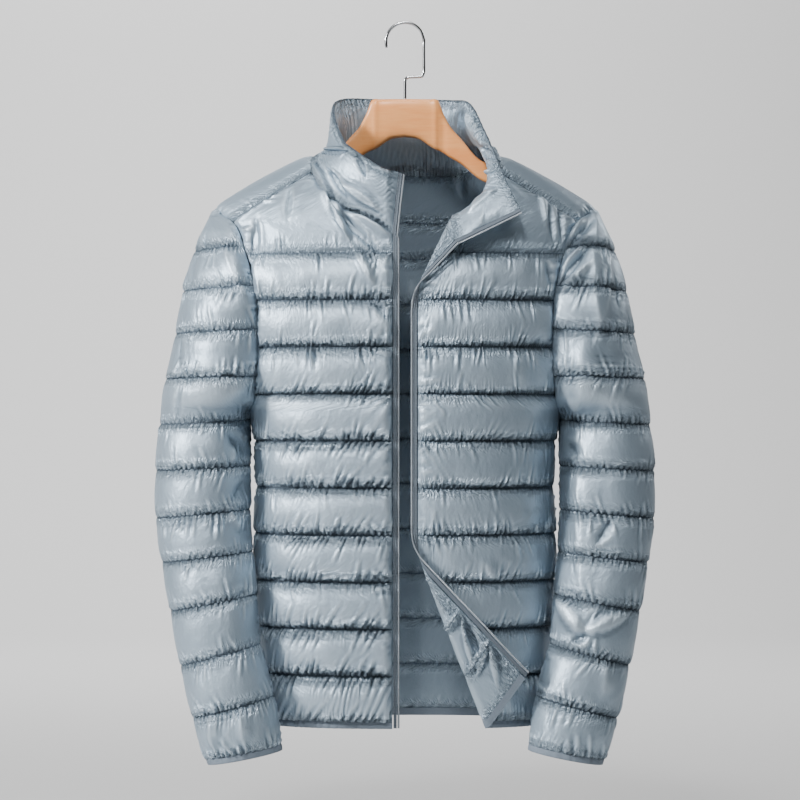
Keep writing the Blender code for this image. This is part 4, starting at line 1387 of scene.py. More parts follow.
class MeshMaker:
    """Turns arrays of points and faces into objects whose place is in their mesh."""

    @staticmethod
    def build(name: str, points: Array, faces: Sequence[Array], smooth_angle: float = 50.0) -> Thing:
        """Makes a mesh object.

        Args:
            name: The object's name.
            points: Vertices.
            faces: Arrays of faces, each with its own number of corners.
            smooth_angle: Edges sharper than this many degrees stay sharp.

        Returns:
            The object, linked to the scene.
        """
        mesh = bpy.data.meshes.new(name)
        sizes = np.concatenate([np.full(len(group), group.shape[1]) for group in faces])
        corners = np.concatenate([group.ravel() for group in faces]).astype(np.int32)
        mesh.vertices.add(len(points))
        mesh.vertices.foreach_set("co", np.ascontiguousarray(points, np.float32).ravel())
        mesh.loops.add(len(corners))
        mesh.loops.foreach_set("vertex_index", corners)
        mesh.polygons.add(len(sizes))
        starts = np.concatenate([[0], np.cumsum(sizes)[:-1]]).astype(np.int32)
        mesh.polygons.foreach_set("loop_start", starts)
        mesh.update(calc_edges=True)
        mesh.validate()
        mesh.shade_smooth()
        mesh.set_sharp_from_angle(angle=math.radians(smooth_angle))
        return placed(name, mesh)

    @staticmethod
    def pattern(made: Thing, places: Array) -> None:
        """Gives an object a UV map in metres from one place per vertex."""
        mesh = made.data
        layer = mesh.uv_layers.new(name="pattern")
        index = np.empty(len(mesh.loops), np.int32)
        mesh.loops.foreach_get("vertex_index", index)
        layer.data.foreach_set("uv", places[index].astype(np.float32).ravel())

    @staticmethod
    def mark(made: Thing, name: str, values: Array) -> None:
        """Gives an object a number per vertex."""
        layer = made.data.attributes.new(name, "FLOAT", "POINT")
        layer.data.foreach_set("value", values.astype(np.float32).ravel())

    @classmethod
    def wall(cls, name: str, outer: Grid, inner: Grid) -> Thing:
        """A closed wall between two grids of the same outline.

        The rims are joined cell by cell. The outer grid may have the same cells as the inner one, or
        two for each of its cells.

        Args:
            name: The object's name.
            outer: The outside.
            inner: The inside, in the same order.

        Returns:
            The object, with its pattern and its distance from the stitching.
        """
        shift = outer.points[..., 0].size
        ring, inside = outer.rim, inner.rim + shift
        ratio = len(ring) // len(inside)
        a0, a1, a2 = ring[::ratio], np.roll(ring, -1)[::ratio], np.roll(ring, -2)[::ratio]
        b0, b1 = inside, np.roll(inside, -1)
        quads = [outer.cells, inner.cells[:, ::-1] + shift]
        if ratio == 1:
            faces = [np.concatenate([*quads, np.stack([a1, a0, b0, b1], axis=1)])]
        else:
            fans = [np.stack(fan, axis=1) for fan in ((a1, a0, b0), (a1, b0, b1), (a2, a1, b1))]
            faces = [np.concatenate(quads), np.concatenate(fans)]
        points = np.concatenate([grid.points.reshape(-1, 3) for grid in (outer, inner)])
        made = cls.build(name, points, faces)
        cls.pattern(made, np.concatenate([outer.pattern, inner.pattern]))
        # stitch_gap and relief also drive the shell's painted shade beside the stitching and in creases, and its
        # painted highlight on crests.
        cls.mark(made, "stitch_gap", np.concatenate([grid.stitch_gap.ravel() for grid in (outer, inner)]))
        cls.mark(made, "relief", np.concatenate([outer.relief(True).ravel(), inner.relief(False).ravel()]))
        return made

    @classmethod
    def tube(cls, name: str, rings: Array, closed: bool = False) -> Thing:
        """A tube through rings of points, its ends capped, or joined where the tube is closed.

        Args:
            name: The object's name.
            rings: Rings, by points, by three.
            closed: Whether the last ring meets the first.

        Returns:
            The object, with its pattern.
        """
        count, around = rings.shape[:2]
        index = np.arange(count * around).reshape(count, around)
        index = np.concatenate([index, index[:, :1]], axis=1)
        if closed:
            index = np.concatenate([index, index[:1]])
        faces = [cell_corners(index)]
        if not closed:
            faces.append(np.stack([index[0, :-1][::-1], index[-1, :-1]]))
        points = rings.reshape(-1, 3)
        made = cls.solid(name, points, faces)
        across, down = arc_lengths(rings, axis=1), arc_lengths(rings, axis=0)
        cls.pattern(made, np.stack([across.ravel(), down.ravel()], axis=-1))
        return made

    @classmethod
    def solid(cls, name: str, points: Array, faces: Sequence[Array]) -> Thing:
        """Makes a closed object, and turns its faces over if its volume comes out below 0.

        Args:
            name: The object's name.
            points: Vertices.
            faces: Arrays of faces.

        Returns:
            The object.
        """
        made = cls.build(name, points, faces, SHARP_ANGLE)
        volume = 0.0
        for group in faces:
            first = points[group[:, 0]]
            for corner in range(1, group.shape[1] - 1):
                cross = np.cross(points[group[:, corner]], points[group[:, corner + 1]])
                volume += float((first * cross).sum())
        if volume < 0:
            made.data.flip_normals()
        return made


def operator(operation: str, swapped: bool = False) -> Callable[["Expr", "Expr | float"], "Expr"]:
    """An operator method that adds a Math node.

    Args:
        operation: The node's operation.
        swapped: True where self is the second value.

    Returns:
        The method.
    """

    def method(self: "Expr", other: "Expr | float") -> "Expr":
        """A Math node on both values."""
        return self.math(operation, *((other, self) if swapped else (self, other)))

    return method


class Expr:
    """A shader socket with the arithmetic operators, so that shader maths reads as expressions."""

    __add__, __radd__ = operator("ADD"), operator("ADD", swapped=True)
    __sub__, __rsub__ = operator("SUBTRACT"), operator("SUBTRACT", swapped=True)
    __mul__, __rmul__ = operator("MULTIPLY"), operator("MULTIPLY", swapped=True)

    def __init__(self, shader: "Shader", socket: bpy.types.NodeSocket) -> None:
        """Wraps a socket of a shader."""
        self.shader, self.socket = shader, socket

    def math(self, operation: str, *values: "Expr | float") -> "Expr":
        """A Math node on these values."""
        return self.shader.node("ShaderNodeMath", {"operation": operation}, dict(enumerate(values)))

    def absolute(self) -> "Expr":
        """Self without its sign."""
        return self.math("ABSOLUTE", self)

    def sine(self) -> "Expr":
        """Sine of self in radians."""
        return self.math("SINE", self)

    def ramp(self, low: float, high: float) -> "Expr":
        """0 below low, 1 above high, and a smooth rise between them."""
        settings = {"interpolation_type": "SMOOTHSTEP"}
        return self.shader.node("ShaderNodeMapRange", settings, {0: self, 1: low, 2: high, 3: 0.0, 4: 1.0})


class Shader:
    """A material under construction: its nodes, made by one method, around one Principled shader."""

    def __init__(self, name: str) -> None:
        """Starts a material whose Principled shader feeds the output."""
        self.material = bpy.data.materials.new(name)
        self.material.use_nodes = True
        self.tree = self.material.node_tree
        self.tree.nodes.clear()
        self.principled = self.tree.nodes.new("ShaderNodeBsdfPrincipled")
        output = self.tree.nodes.new("ShaderNodeOutputMaterial")
        self.tree.links.new(self.principled.outputs[0], output.inputs["Surface"])

    def node(
        self,
        kind: str,
        settings: Mapping[str, object] | None = None,
        inputs: Mapping[int | str, "Expr | float | Sequence[float]"] | None = None,
        output: int | str = 0,
    ) -> Expr:
        """Adds a node.

        Args:
            kind: The node's type.
            settings: Its properties.
            inputs: A value or a link for each socket, by name or number.
            output: The socket to hand back.

        Returns:
            That socket as an expression.
        """
        made = self.tree.nodes.new(kind)
        for name, value in (settings or {}).items():
            setattr(made, name, value)
        for place, value in (inputs or {}).items():
            self.feed(made.inputs[place], value)
        return Expr(self, made.outputs[output])

    def feed(self, socket: bpy.types.NodeSocket, value: "Expr | float | Sequence[float]") -> None:
        """Links an expression to a socket, or sets the socket's value."""
        if isinstance(value, Expr):
            self.tree.links.new(value.socket, socket)
        else:
            socket.default_value = value

    def place(self) -> Expr:
        """Object coordinates."""
        return self.node("ShaderNodeTexCoord", output="Object")

    def pattern(self, stretch: Vector3 = (1.0, 1.0, 1.0)) -> Expr:
        """The UV map in metres, stretched."""
        flat = self.node("ShaderNodeUVMap", {"uv_map": "pattern"})
        return self.node("ShaderNodeVectorMath", {"operation": "MULTIPLY"}, {0: flat, 1: stretch})

    def attribute(self, name: str) -> Expr:
        """A number carried by the vertices."""
        return self.node("ShaderNodeAttribute", {"attribute_name": name}, output="Fac")

    def noise(self, at: Expr, scale: float, detail: float = 2.0, roughness: float = 0.5) -> Expr:
        """Noise from 0 to 1."""
        inputs = {"Vector": at, "Scale": scale, "Detail": detail, "Roughness": roughness}
        return self.node("ShaderNodeTexNoise", {}, inputs)

    def blend(self, factor: Expr | float, low: Expr | Colour, high: Expr | Colour) -> Expr:
        """One colour to another."""
        return self.node("ShaderNodeMix", {"data_type": "RGBA"}, {0: factor, 6: low, 7: high}, output=2)

    def bump(self, height: Expr, depth: float, under: Expr | None = None) -> Expr:
        """A bump that is this many metres deep where height runs from 0 to 1."""
        inputs: dict[int | str, Expr | float] = {"Strength": 1.0, "Distance": depth, "Height": height}
        if under is not None:
            inputs["Normal"] = under
        return self.node("ShaderNodeBump", {}, inputs)

    def finish(self, **values: "Expr | float | Sequence[float]") -> Material:
        """Sets or links the Principled shader's sockets, given by name with _ for a space."""
        for name, value in values.items():
            self.feed(self.principled.inputs[name.replace("_", " ")], value)
        return self.material


@dataclass(frozen=True)
class SatinNylon:
    """Downproof satin nylon: a soft metallic sheen, fine crinkles, and short gathers by the stitching."""

    name: str = "satin nylon"
    pale: Colour = (0.395, 0.495, 0.590, 1.0)
    deep: Colour = (0.310, 0.400, 0.485, 1.0)
    # seam: the stitch line's colour, partly its own darker tone and partly painted shade in its groove; also the
    # painted shade in the gathers' troughs beside it
    seam: Colour = (0.135, 0.180, 0.230, 1.0)
    # crest: painted highlight, mixed in on sharp crests of the cloth
    crest: Colour = (0.580, 0.690, 0.780, 1.0)
    # hollow: painted shade, mixed in down in creases
    hollow: Colour = (0.055, 0.078, 0.105, 1.0)
    metallic: float = 0.55
    roughness: float = 0.45

    def make(self) -> Material:
        """Builds the material.

        The colour drifts slowly. Painted highlight lightens it on crests, painted shade darkens it in creases and in
        the gathers' troughs beside the stitching, and the stitch line is darker, partly its own colour and partly
        painted shade in its groove. Two bumps follow the pattern in metres:
        gathers drawn out across the stitching, strong beside it, and a fine crinkle all over.

        Returns:
            The material.
        """
        shader = Shader(self.name)
        gap, relief = shader.attribute("stitch_gap"), shader.attribute("relief")
        drift = shader.noise(shader.place(), 7.0, 3.0)
        near = 1.0 - gap.ramp(0.0, 0.016)
        line = 1.0 - gap.ramp(0.0, 0.0009)
        gathers = shader.noise(shader.pattern((1.0, 0.30, 1.0)), 300.0, 2.0)
        crinkle = shader.noise(shader.pattern((1.0, 0.6, 1.0)), 75.0, 5.0, 0.60)
        under = shader.bump(crinkle, 0.0014)
        ridges = 1.0 - (gathers - 0.5).absolute().ramp(0.0, 0.16)
        normal = shader.bump(ridges * near * (0.4 + 1.2 * drift), 0.0024, under)
        colour = shader.blend(drift, self.deep, self.pale)
        # Painted highlight on crests.
        colour = shader.blend((1.0 - relief.ramp(0.05, 0.50)) * 0.60, colour, self.crest)
        # Painted shade in creases.
        colour = shader.blend(relief.ramp(0.54, 1.00) * 0.50, colour, self.hollow)
        # Painted shade in the gathers' troughs beside the stitching.
        colour = shader.blend((1.0 - ridges) * (1.0 - gap.ramp(0.0005, 0.0075)) * 0.50, colour, self.seam)
        # The stitch line: partly the seam's own darker colour, partly painted shade in its groove.
        colour = shader.blend(line, colour, self.seam)
        rough = self.roughness + 0.10 * (drift - 0.5) + 0.12 * line
        return shader.finish(Base_Color=colour, Roughness=rough, Metallic=self.metallic, Normal=normal)


@dataclass(frozen=True)
class Webbing:
    """Woven narrow cloth: fine ribs along or across the pattern."""

    name: str
    colour: Colour
    dark: Colour
    rib: Vector3
    roughness: float = 0.75

    def make(self) -> Material:
        """Builds the material: a sine across the pattern lifts the ribs, and noise mottles them."""
        shader = Shader(self.name)
        across = {0: shader.pattern(), 1: self.rib}
        rib = shader.node("ShaderNodeVectorMath", {"operation": "DOT_PRODUCT"}, across, output="Value")
        mottle = shader.noise(shader.place(), 420.0, 2.0)
        height = 0.5 + 0.5 * rib.sine()
        colour = shader.blend(mottle * 0.6 + height * 0.4, self.dark, self.colour)
        normal = shader.bump(height + mottle, 0.00012)
        return shader.finish(Base_Color=colour, Roughness=self.roughness, Normal=normal)


@dataclass(frozen=True)
class Thread:
    """Sewing thread."""

    name: str = "thread"
    colour: Colour = (0.30, 0.35, 0.40, 1.0)

    def make(self) -> Material:
        """Builds the material: one colour, a little mottled."""
        shader = Shader(self.name)
        mottle = shader.noise(shader.place(), 900.0)
        dark = (*[part * 0.6 for part in self.colour[:3]], 1.0)
        return shader.finish(Base_Color=shader.blend(mottle, dark, self.colour), Roughness=0.6)


@dataclass(frozen=True)
class Moulded:
    """Smooth plastic or metal."""

    name: str
    colour: Colour
    roughness: float
    metallic: float = 0.0

    def make(self) -> Material:
        """Builds the material: roughness varies slightly with fine noise."""
        shader = Shader(self.name)
        wear = shader.noise(shader.place(), 60.0, 3.0)
        rough = self.roughness + 0.08 * (wear - 0.5)
        return shader.finish(Base_Color=self.colour, Roughness=rough, Metallic=self.metallic)


@dataclass(frozen=True)
class LacqueredWood:
    """Pale lacquered wood with its grain along X."""

    name: str = "wood"
    pale: Colour = (1.00, 0.44, 0.150, 1.0)
    dark: Colour = (0.92, 0.33, 0.090, 1.0)

    def make(self) -> Material:
        """Builds the material: noise drawn out along X makes the grain, and slow noise its shade."""
        shader = Shader(self.name)
        stretch = {0: shader.place(), 1: (0.10, 1.0, 1.0)}
        along = shader.node("ShaderNodeVectorMath", {"operation": "MULTIPLY"}, stretch)
        grain = shader.noise(along, 420.0, 3.0, 0.6)
        shade = shader.noise(along, 60.0, 2.0)
        mixed = (0.55 * shade + 0.45 * grain).ramp(0.30, 0.70)
        normal = shader.bump(grain, 0.00006)
        colour = shader.blend(mixed, self.dark, self.pale)
        return shader.finish(Base_Color=colour, Roughness=0.42, Coat_Weight=0.35, Coat_Roughness=0.25, Normal=normal)


@dataclass(frozen=True)
class Backdrop:
    """Plain matt paper."""

    name: str = "backdrop"
    colour: Colour = (0.56, 0.56, 0.56, 1.0)

    def make(self) -> Material:
        """Builds the material: one colour."""
        shader = Shader(self.name)
        return shader.finish(Base_Color=self.colour, Roughness=0.95)


BINDING_CLOTH = Webbing("binding", (0.235, 0.285, 0.345, 1.0), (0.150, 0.190, 0.240, 1.0), (0.0, 5200.0, 0.0))
TAPE_CLOTH = Webbing("zip tape", (0.130, 0.160, 0.195, 1.0), (0.070, 0.090, 0.115, 1.0), (0.0, 6300.0, 0.0))


@dataclass
class Finishes:
    """The object's materials, one for each of the record's slots, and the thread."""

    shell: Material = field(default_factory=SatinNylon().make)
    binding: Material = field(default_factory=BINDING_CLOTH.make)
    zip_tape: Material = field(default_factory=TAPE_CLOTH.make)
    zip_coil: Material = field(default_factory=Moulded("zip coil", (0.30, 0.335, 0.370, 1.0), 0.35, 0.2).make)
    wood: Material = field(default_factory=LacqueredWood().make)
    steel: Material = field(default_factory=Moulded("steel", (0.66, 0.67, 0.69, 1.0), 0.22, 1.0).make)
    thread: Material = field(default_factory=Thread().make)

    def dress(self, made: Thing, slot: str, *nodes: str) -> Thing:
        """Gives a piece its slot's material, puts it on the root and has it stand for CAD nodes.

        Args:
            made: The piece.
            slot: The record's slot, which is also the finish's name here.
            *nodes: The CAD nodes that it replaces.

        Returns:
            The piece.
        """
        made.data.materials.append(getattr(self, slot))
        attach(made, "root")
        if nodes:
            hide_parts(*nodes)
        log.info("%s: %d faces", made.name, len(made.data.polygons))
        return made


@dataclass
class QuiltedPiece:
    """One quilted panel: its patch, how its two faces are made, and the size that it was cut to."""

    name: str
    patch: Patch
    flat: tuple[float, float]
    ratio: int = 2
    lining: float = 0.0022
    held: str = "hung"
    facing: tuple[float, ...] = ()

    def __post_init__(self) -> None:
        """Roughens the patch and lays its large folds once, for both faces."""
        self.patch.roughen(FOLDS[self.name])

    @property
    def cut_area(self) -> float:
        """The plain grid's area with its spare cloth, in square metres."""
        points = self.patch.points
        across, down = np.diff(points, axis=1)[1:], np.diff(points, axis=0)[:, 1:]
        plain = float(np.linalg.norm(np.cross(across, down), axis=-1).sum())
        return plain * (1 + float(self.patch.gathers.mean())) * PUFF_SHARE

    def outer(self, detail: Detail) -> Array:
        """The settled outside."""
        return ClothSolver(self.patch, detail.settling, WALL).settle()

    def inner(self, detail: Detail) -> Array:
        """The inside, settled like the outside where it shows, and otherwise puffed by a rule.

        The rule lifts it inwards by the lining's share of the room, with ripples by the stitching.

        Args:
            detail: How finely the cloth is worked out.

        Returns:
            The inside's points, in the outside's order of rows and columns.
        """
        patch = self.patch
        if self.ratio == 1:
            turned = patch.inside(self.lining)
            if self.facing:
                band = ramp(self.facing[-1], self.facing[-1] + 0.003, arc_lengths(patch.points, 1))[:, ::-1]
                turned.pleats, turned.room = turned.pleats * band, turned.room * (0.1 + 0.9 * band)
            return ClothSolver(turned, detail.settling, 0.0).settle()[:, ::-1]
        share = patch.room / max(float(patch.room.max()), 1e-6)
        noise = ripples(patch.room.shape, (0.0024, 0.0015), 0.0070, 0.3, patch.seed + 90)
        deep = self.lining * share + 0.0006 * noise * np.exp(-patch.stitch_gap / 0.009) * (share > 0.05)
        return (patch.points - patch.outward * deep[..., None])[:: self.ratio, :: self.ratio]

    def build(
        self, outer: Array, inner: Array, finishes: Finishes, trims: Sequence[Thing]
    ) -> Thing:
        """Args:
            outer: The settled outside.
            inner: The inside.
            finishes: The object's materials.
            trims: All bindings and zip parts. Not used.

        Returns:
            The piece.
        """
        gap, step = self.patch.stitch_gap, self.ratio
        over = arc_lengths(self.patch.points, 1)
        rows = [np.abs(over - place) * 1.6 for place in self.facing]
        inner_gap = np.minimum.reduce([gap, *rows])
        made = MeshMaker.wall(self.name, Grid(outer, gap), Grid(inner, inner_gap[::step, ::step]))
        finishes.dress(made, "shell", self.name)
        log.info("%s: cut %.3f m2", self.name, self.cut_area)
        return made


class Garment:
    """All the quilted pieces, settled side by side."""

    def __init__(self, form: JacketForm, detail: Detail) -> None:
        """Works out each piece's patch."""
        self.detail = detail
        front = {side: FrontPanel(form, side, detail).patch() for side in Side}
        sleeve = {side: Sleeve(form, side, detail) for side in Side}
        self.pieces = [
            QuiltedPiece("front_right", front[Side.RIGHT], (0.275, 0.70)),
            QuiltedPiece("front_left", front[Side.LEFT], (0.275, 0.70), 1, 0.0030, facing=(0.003, 0.007, 0.011)),
            QuiltedPiece("back", BackPanel(form, detail).patch(), (0.56, 0.80)),
            QuiltedPiece("sleeve_right", sleeve[Side.RIGHT].patch(), (0.50, 0.74)),
            QuiltedPiece("sleeve_left", sleeve[Side.LEFT].patch(), (0.50, 0.74)),
            QuiltedPiece("collar", Collar(form, detail).patch(), (0.60, 0.105), 1, 0.0045),
        ]

    def settle(self) -> list[tuple[Array, Array]]:
        """Settles every piece's faces in four threads; the result doesn't depend on their order."""
        with ThreadPoolExecutor(4) as pool:
            outer = [pool.submit(piece.outer, self.detail) for piece in self.pieces]
            inner = [pool.submit(piece.inner, self.detail) for piece in self.pieces]
            return [(out.result(), ins.result()) for out, ins in zip(outer, inner)]

    def build(self, finishes: Finishes, trims: Sequence[Thing]) -> list[Thing]:
        """Settles and builds every piece."""
        settled = self.settle()
        return [piece.build(*faces, finishes, trims) for piece, faces in zip(self.pieces, settled)]


@dataclass(frozen=True)
class Bindings:
    """The narrow bindings round the hem and the cuffs."""

    form: JacketForm
    detail: Detail
    step: float = 0.0025
    rows: int = 9
    front_length: float = 0.26
    back_length: float = 0.42
    overlap: float = 0.0010
    cuff_columns: int = 120

    def hem_line(self, z: float) -> Array:
        """A row of points round the body.

        Args:
            z: The row's height.

        Returns:
            Points from the right zip to the left zip.
        """
        form = self.form
        first = float(form.angle_at(PANEL_EDGE + GAP, z))
        x = form.across(np.linspace(first, 90.0, int(self.front_length / self.step)), z)
        level = np.full_like(x, z)
        turn = np.linspace(90, -90, int(self.back_length / self.step))[1:-1]
        back_x = np.sign(turn) * form.across(np.abs(turn), z)
        height = np.full_like(back_x, z)
        back = np.stack([-back_x, form.depth_at(back_x, height, Face.BACK), height], axis=-1)
        x[-1] = float(form.across(90.0, z))
        return np.concatenate([form.front_point(-x, level), back, form.left_front(x, level)[0][::-1]])

    def hem(self) -> Thing:
        """The hem's binding: rounded over its width, with slight elastic waves and a stitch groove.

        Returns:
            The object.
        """
        down = np.linspace(0, 1, self.rows)
        heights = HEM_SEAM_Z + self.overlap - down * (BINDING_HEIGHT + self.overlap)
        points = np.stack([self.hem_line(float(z)) for z in heights])
        groove = 0.22 * np.exp(-(((down - 0.25) / 0.10) ** 2))
        profile = np.sin(np.pi * np.clip(0.12 + 0.76 * down, 0, 1)) ** 0.5 - groove
        waves = ripples(points.shape[:2], (0.0010, self.step), 0.011, 0.2, 61) * 0.00030
        outer = points + normals(points) * (BINDING_WALL * profile[:, None] + waves)[..., None]
        flat = np.full(points.shape[:2], FAR_FROM_STITCHES)
        return MeshMaker.wall("hem_binding", Grid(outer, flat), Grid(points - normals(points) * 0.0008, flat))

    def cuff(self, side: Side) -> Thing:
        """A cuff's binding: a rounded section carried round the sleeve's end.

        Args:
            side: Which cuff.

        Returns:
            The object.
        """
        sleeve = Sleeve(self.form, side, self.detail)
        lines = np.concatenate([np.linspace(0, 11, 12), [11.8, 11.9, 12.0]])
        grid = sleeve.grid(lines, self.cuff_columns)[0][-3:, :-1]
        down = unit(grid[-1] - grid[0])
        rim = grid[-1] - down * self.overlap
        out = unit(rim - rim.mean(axis=0))
        turn = full_turn(16)
        low, away = 0.5 - 0.5 * signed_power(np.cos(turn), 0.5), 0.5 + 0.5 * signed_power(np.sin(turn), 0.5)
        waves = ripples((16, len(rim)), (0.001, 0.0025), 0.012, 0.0, 63 + side.value)[0] * 0.00025
        reach = away[None, :] * (BINDING_WALL + waves[:, None])
        drop = down[:, None] * (low * BINDING_HEIGHT)[None, :, None]
        rings = rim[:, None] + drop + out[:, None] * reach[..., None]
        return MeshMaker.tube(f"cuff_binding_{side.word}", sleeve.mirrored(rings), closed=True)

    def build(self, finishes: Finishes) -> list[Thing]:
        """Builds and dresses the three bindings."""
        hem = finishes.dress(self.hem(), "binding", "hem_binding")
        cuffs = [finishes.dress(self.cuff(side), "binding", f"cuff_binding_{side.word}") for side in Side]
        return [hem, *cuffs]


@dataclass(frozen=True)
class Dashes:
    """Short raised stitches along a line."""

    length: float = 0.0024
    pitch: float = 0.0036
    thick: float = 0.00055

    def points(self, line: Array, out: Array) -> tuple[Array, Array]:
        """Small six-sided bars along a line.

        Args:
            line: The line's points.
            out: The outward direction at each point.

        Returns:
            Vertices and faces of all the bars together.
        """
        total = polyline_length(line)
        count = max(int(total / self.pitch), 1)
        shares = (np.arange(count) + 0.5) / count
        half = self.length / total / 2
        start, end = resample(line, shares - half), resample(line, shares + half)
        away = directions(out, shares)
        side = unit(np.cross(end - start, away))
        turn = np.radians(np.arange(0, 360, 60))
        ring = ring_offsets(side, away, np.cos(turn), np.sin(turn)) * self.thick / 2
        lift = away[:, None] * self.thick * 0.25
        bars = np.concatenate([start[:, None] + ring + lift, end[:, None] + ring + lift], axis=1)
        here = np.arange(6)
        sides = np.stack([here, (here + 1) % 6, (here + 1) % 6 + 6, here + 6], axis=1)
        caps = np.array([[0, 5, 4, 3], [3, 2, 1, 0], [6, 7, 8, 9], [9, 10, 11, 6]])
        faces = np.concatenate([sides, caps])
        offset = (np.arange(count) * 12)[:, None, None]
        return bars.reshape(-1, 3), (faces[None] + offset).reshape(-1, 4)

    def build(self, name: str, lines: Sequence[tuple[Array, Array]]) -> Thing:
        """Makes one object with the stitches of several lines.

        Args:
            name: The object's name.
            lines: Each line's points, and the outward direction at each of them.

        Returns:
            The object.
        """
        vertices, faces, shift = [], [], 0
        for line, out in lines:
            points, cells = self.points(line, out)
            vertices.append(points)
            faces.append(cells + shift)
            shift += len(points)
        points, cells = np.concatenate(vertices), np.concatenate(faces)
        return MeshMaker.solid(name, points, [cells])


@dataclass(frozen=True)
class FrontZip:
    """The two halves of the open zip: a tape, its toothed edge and its stitching on each side."""

    form: JacketForm
    detail: Detail
    tooth_pitch: float = 0.0016
    tooth_flatness: float = 0.75
    stitch_columns: tuple[int, int] = (1, 7)
    front_rows: int = 230
    collar_cells: tuple[int, int] = (36, 90)
    across: int = 9

    def line(self, side: Side) -> tuple[Array, Array]:
        """The tape's edges, up the front and then up the collar's end.

        Args:
            side: Which half.

        Returns:
            Points on the inner edge and on the outer edge.
        """
        z = np.linspace(HEM_SEAM_Z - BINDING_HEIGHT, NECK_FRONT.column("z")[0], self.front_rows)
        edges = (PANEL_EDGE - 3.5 * GAP, TAPE_EDGE)
        rows = [self.form.front(np.full_like(z, x), z, side)[0] for x in edges]
        collar = Collar(self.form, self.detail).grid(*self.collar_cells)[0][1:]
        end, beside = (collar[:, -1], collar[:, -2]) if side is Side.LEFT else (collar[:, 0], collar[:, 1])
        away = unit(end - beside)
        inner = np.concatenate([rows[0], end + away * GAP])
        outer = np.concatenate([rows[1], end + away * (PANEL_EDGE - TAPE_EDGE)])
        return soften(inner[:, None], 3)[:, 0], soften(outer[:, None], 3)[:, 0]

    def build_side(self, side: Side, finishes: Finishes) -> list[Thing]:
        """Builds one half.

        The tape is a thin wall with two low ridges along it. Its teeth are bumps on a cord beside its
        edge, and two rows of stitches run along it.

        Args:
            side: Which half.
            finishes: The object's materials.

        Returns:
            The tape, the teeth and the stitches.
        """
        inner, outer = self.line(side)
        share = np.linspace(0, 1, self.across)[None, :, None]
        points = outer[:, None] * (1 - share) + inner[:, None] * share
        points = points if side is Side.LEFT else points[:, ::-1]
        out = normals(points)
        waves = ripples(points.shape[:2], (0.003, 0.0006), 0.020, 0.0, 71 + side.value) * 0.00015
        ridge = np.sin(np.linspace(0, 2 * np.pi, self.across)) ** 2 * 0.0004
        raised = points + out * (TAPE_WALL + ridge[None, :] + waves)[..., None]
        flat = np.full(points.shape[:2], FAR_FROM_STITCHES)
        word = side.word
        tape = MeshMaker.wall(f"zip_tape_{word}", Grid(raised, flat), Grid(points, flat))
        finishes.dress(tape, "zip_tape", f"zip_tape_{word}")
        away, up = unit(outer - inner), unit(np.gradient(outer, axis=0))
        face = unit(np.cross(away, up)) * -side.value
        middle = outer + away * (COIL_WIDTH / 2 + 2 * GAP) + face * TAPE_WALL / 2
        teeth = self.teeth(f"zip_coil_{word}", middle, away, face)
        finishes.dress(teeth, "zip_coil", f"zip_coil_{word}")
        rows = [(raised[:, place], out[:, place]) for place in self.stitch_columns]
        stitches = Dashes().build(f"zip_stitches_{word}", rows)
        stitches.data.materials.append(finishes.thread)
        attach(stitches, "root")
        return [tape, teeth, stitches]

    def teeth(self, name: str, middle: Array, away: Array, face: Array) -> Thing:
        """The toothed edge: a cord with a rounded bump for each tooth.

        The cord's radius is swelled by a raised cosine of the length along it, once for each tooth.

        Args:
            name: The object's name.
            middle: The edge's centre line.
            away: Direction off the tape's edge at each point.
            face: Outward direction at each point.

        Returns:
            The object.
        """
        ring_count = 4 * int(polyline_length(middle) / self.tooth_pitch) + 1
        shares = np.linspace(0, 1, ring_count)
        swell = 0.80 + 0.20 * np.cos(np.arange(ring_count) * np.pi / 2)
        turn = full_turn(8)
        right, up = directions(away, shares), directions(face, shares)
        reach = ring_offsets(right, up, np.cos(turn), self.tooth_flatness * np.sin(turn))
        rings = resample(middle, shares)[:, None] + reach * (swell * COIL_WIDTH / 2)[:, None, None]
        return MeshMaker.tube(name, rings)

    def build(self, finishes: Finishes) -> list[Thing]:
        """Builds both halves."""
        return [made for side in Side for made in self.build_side(side, finishes)]


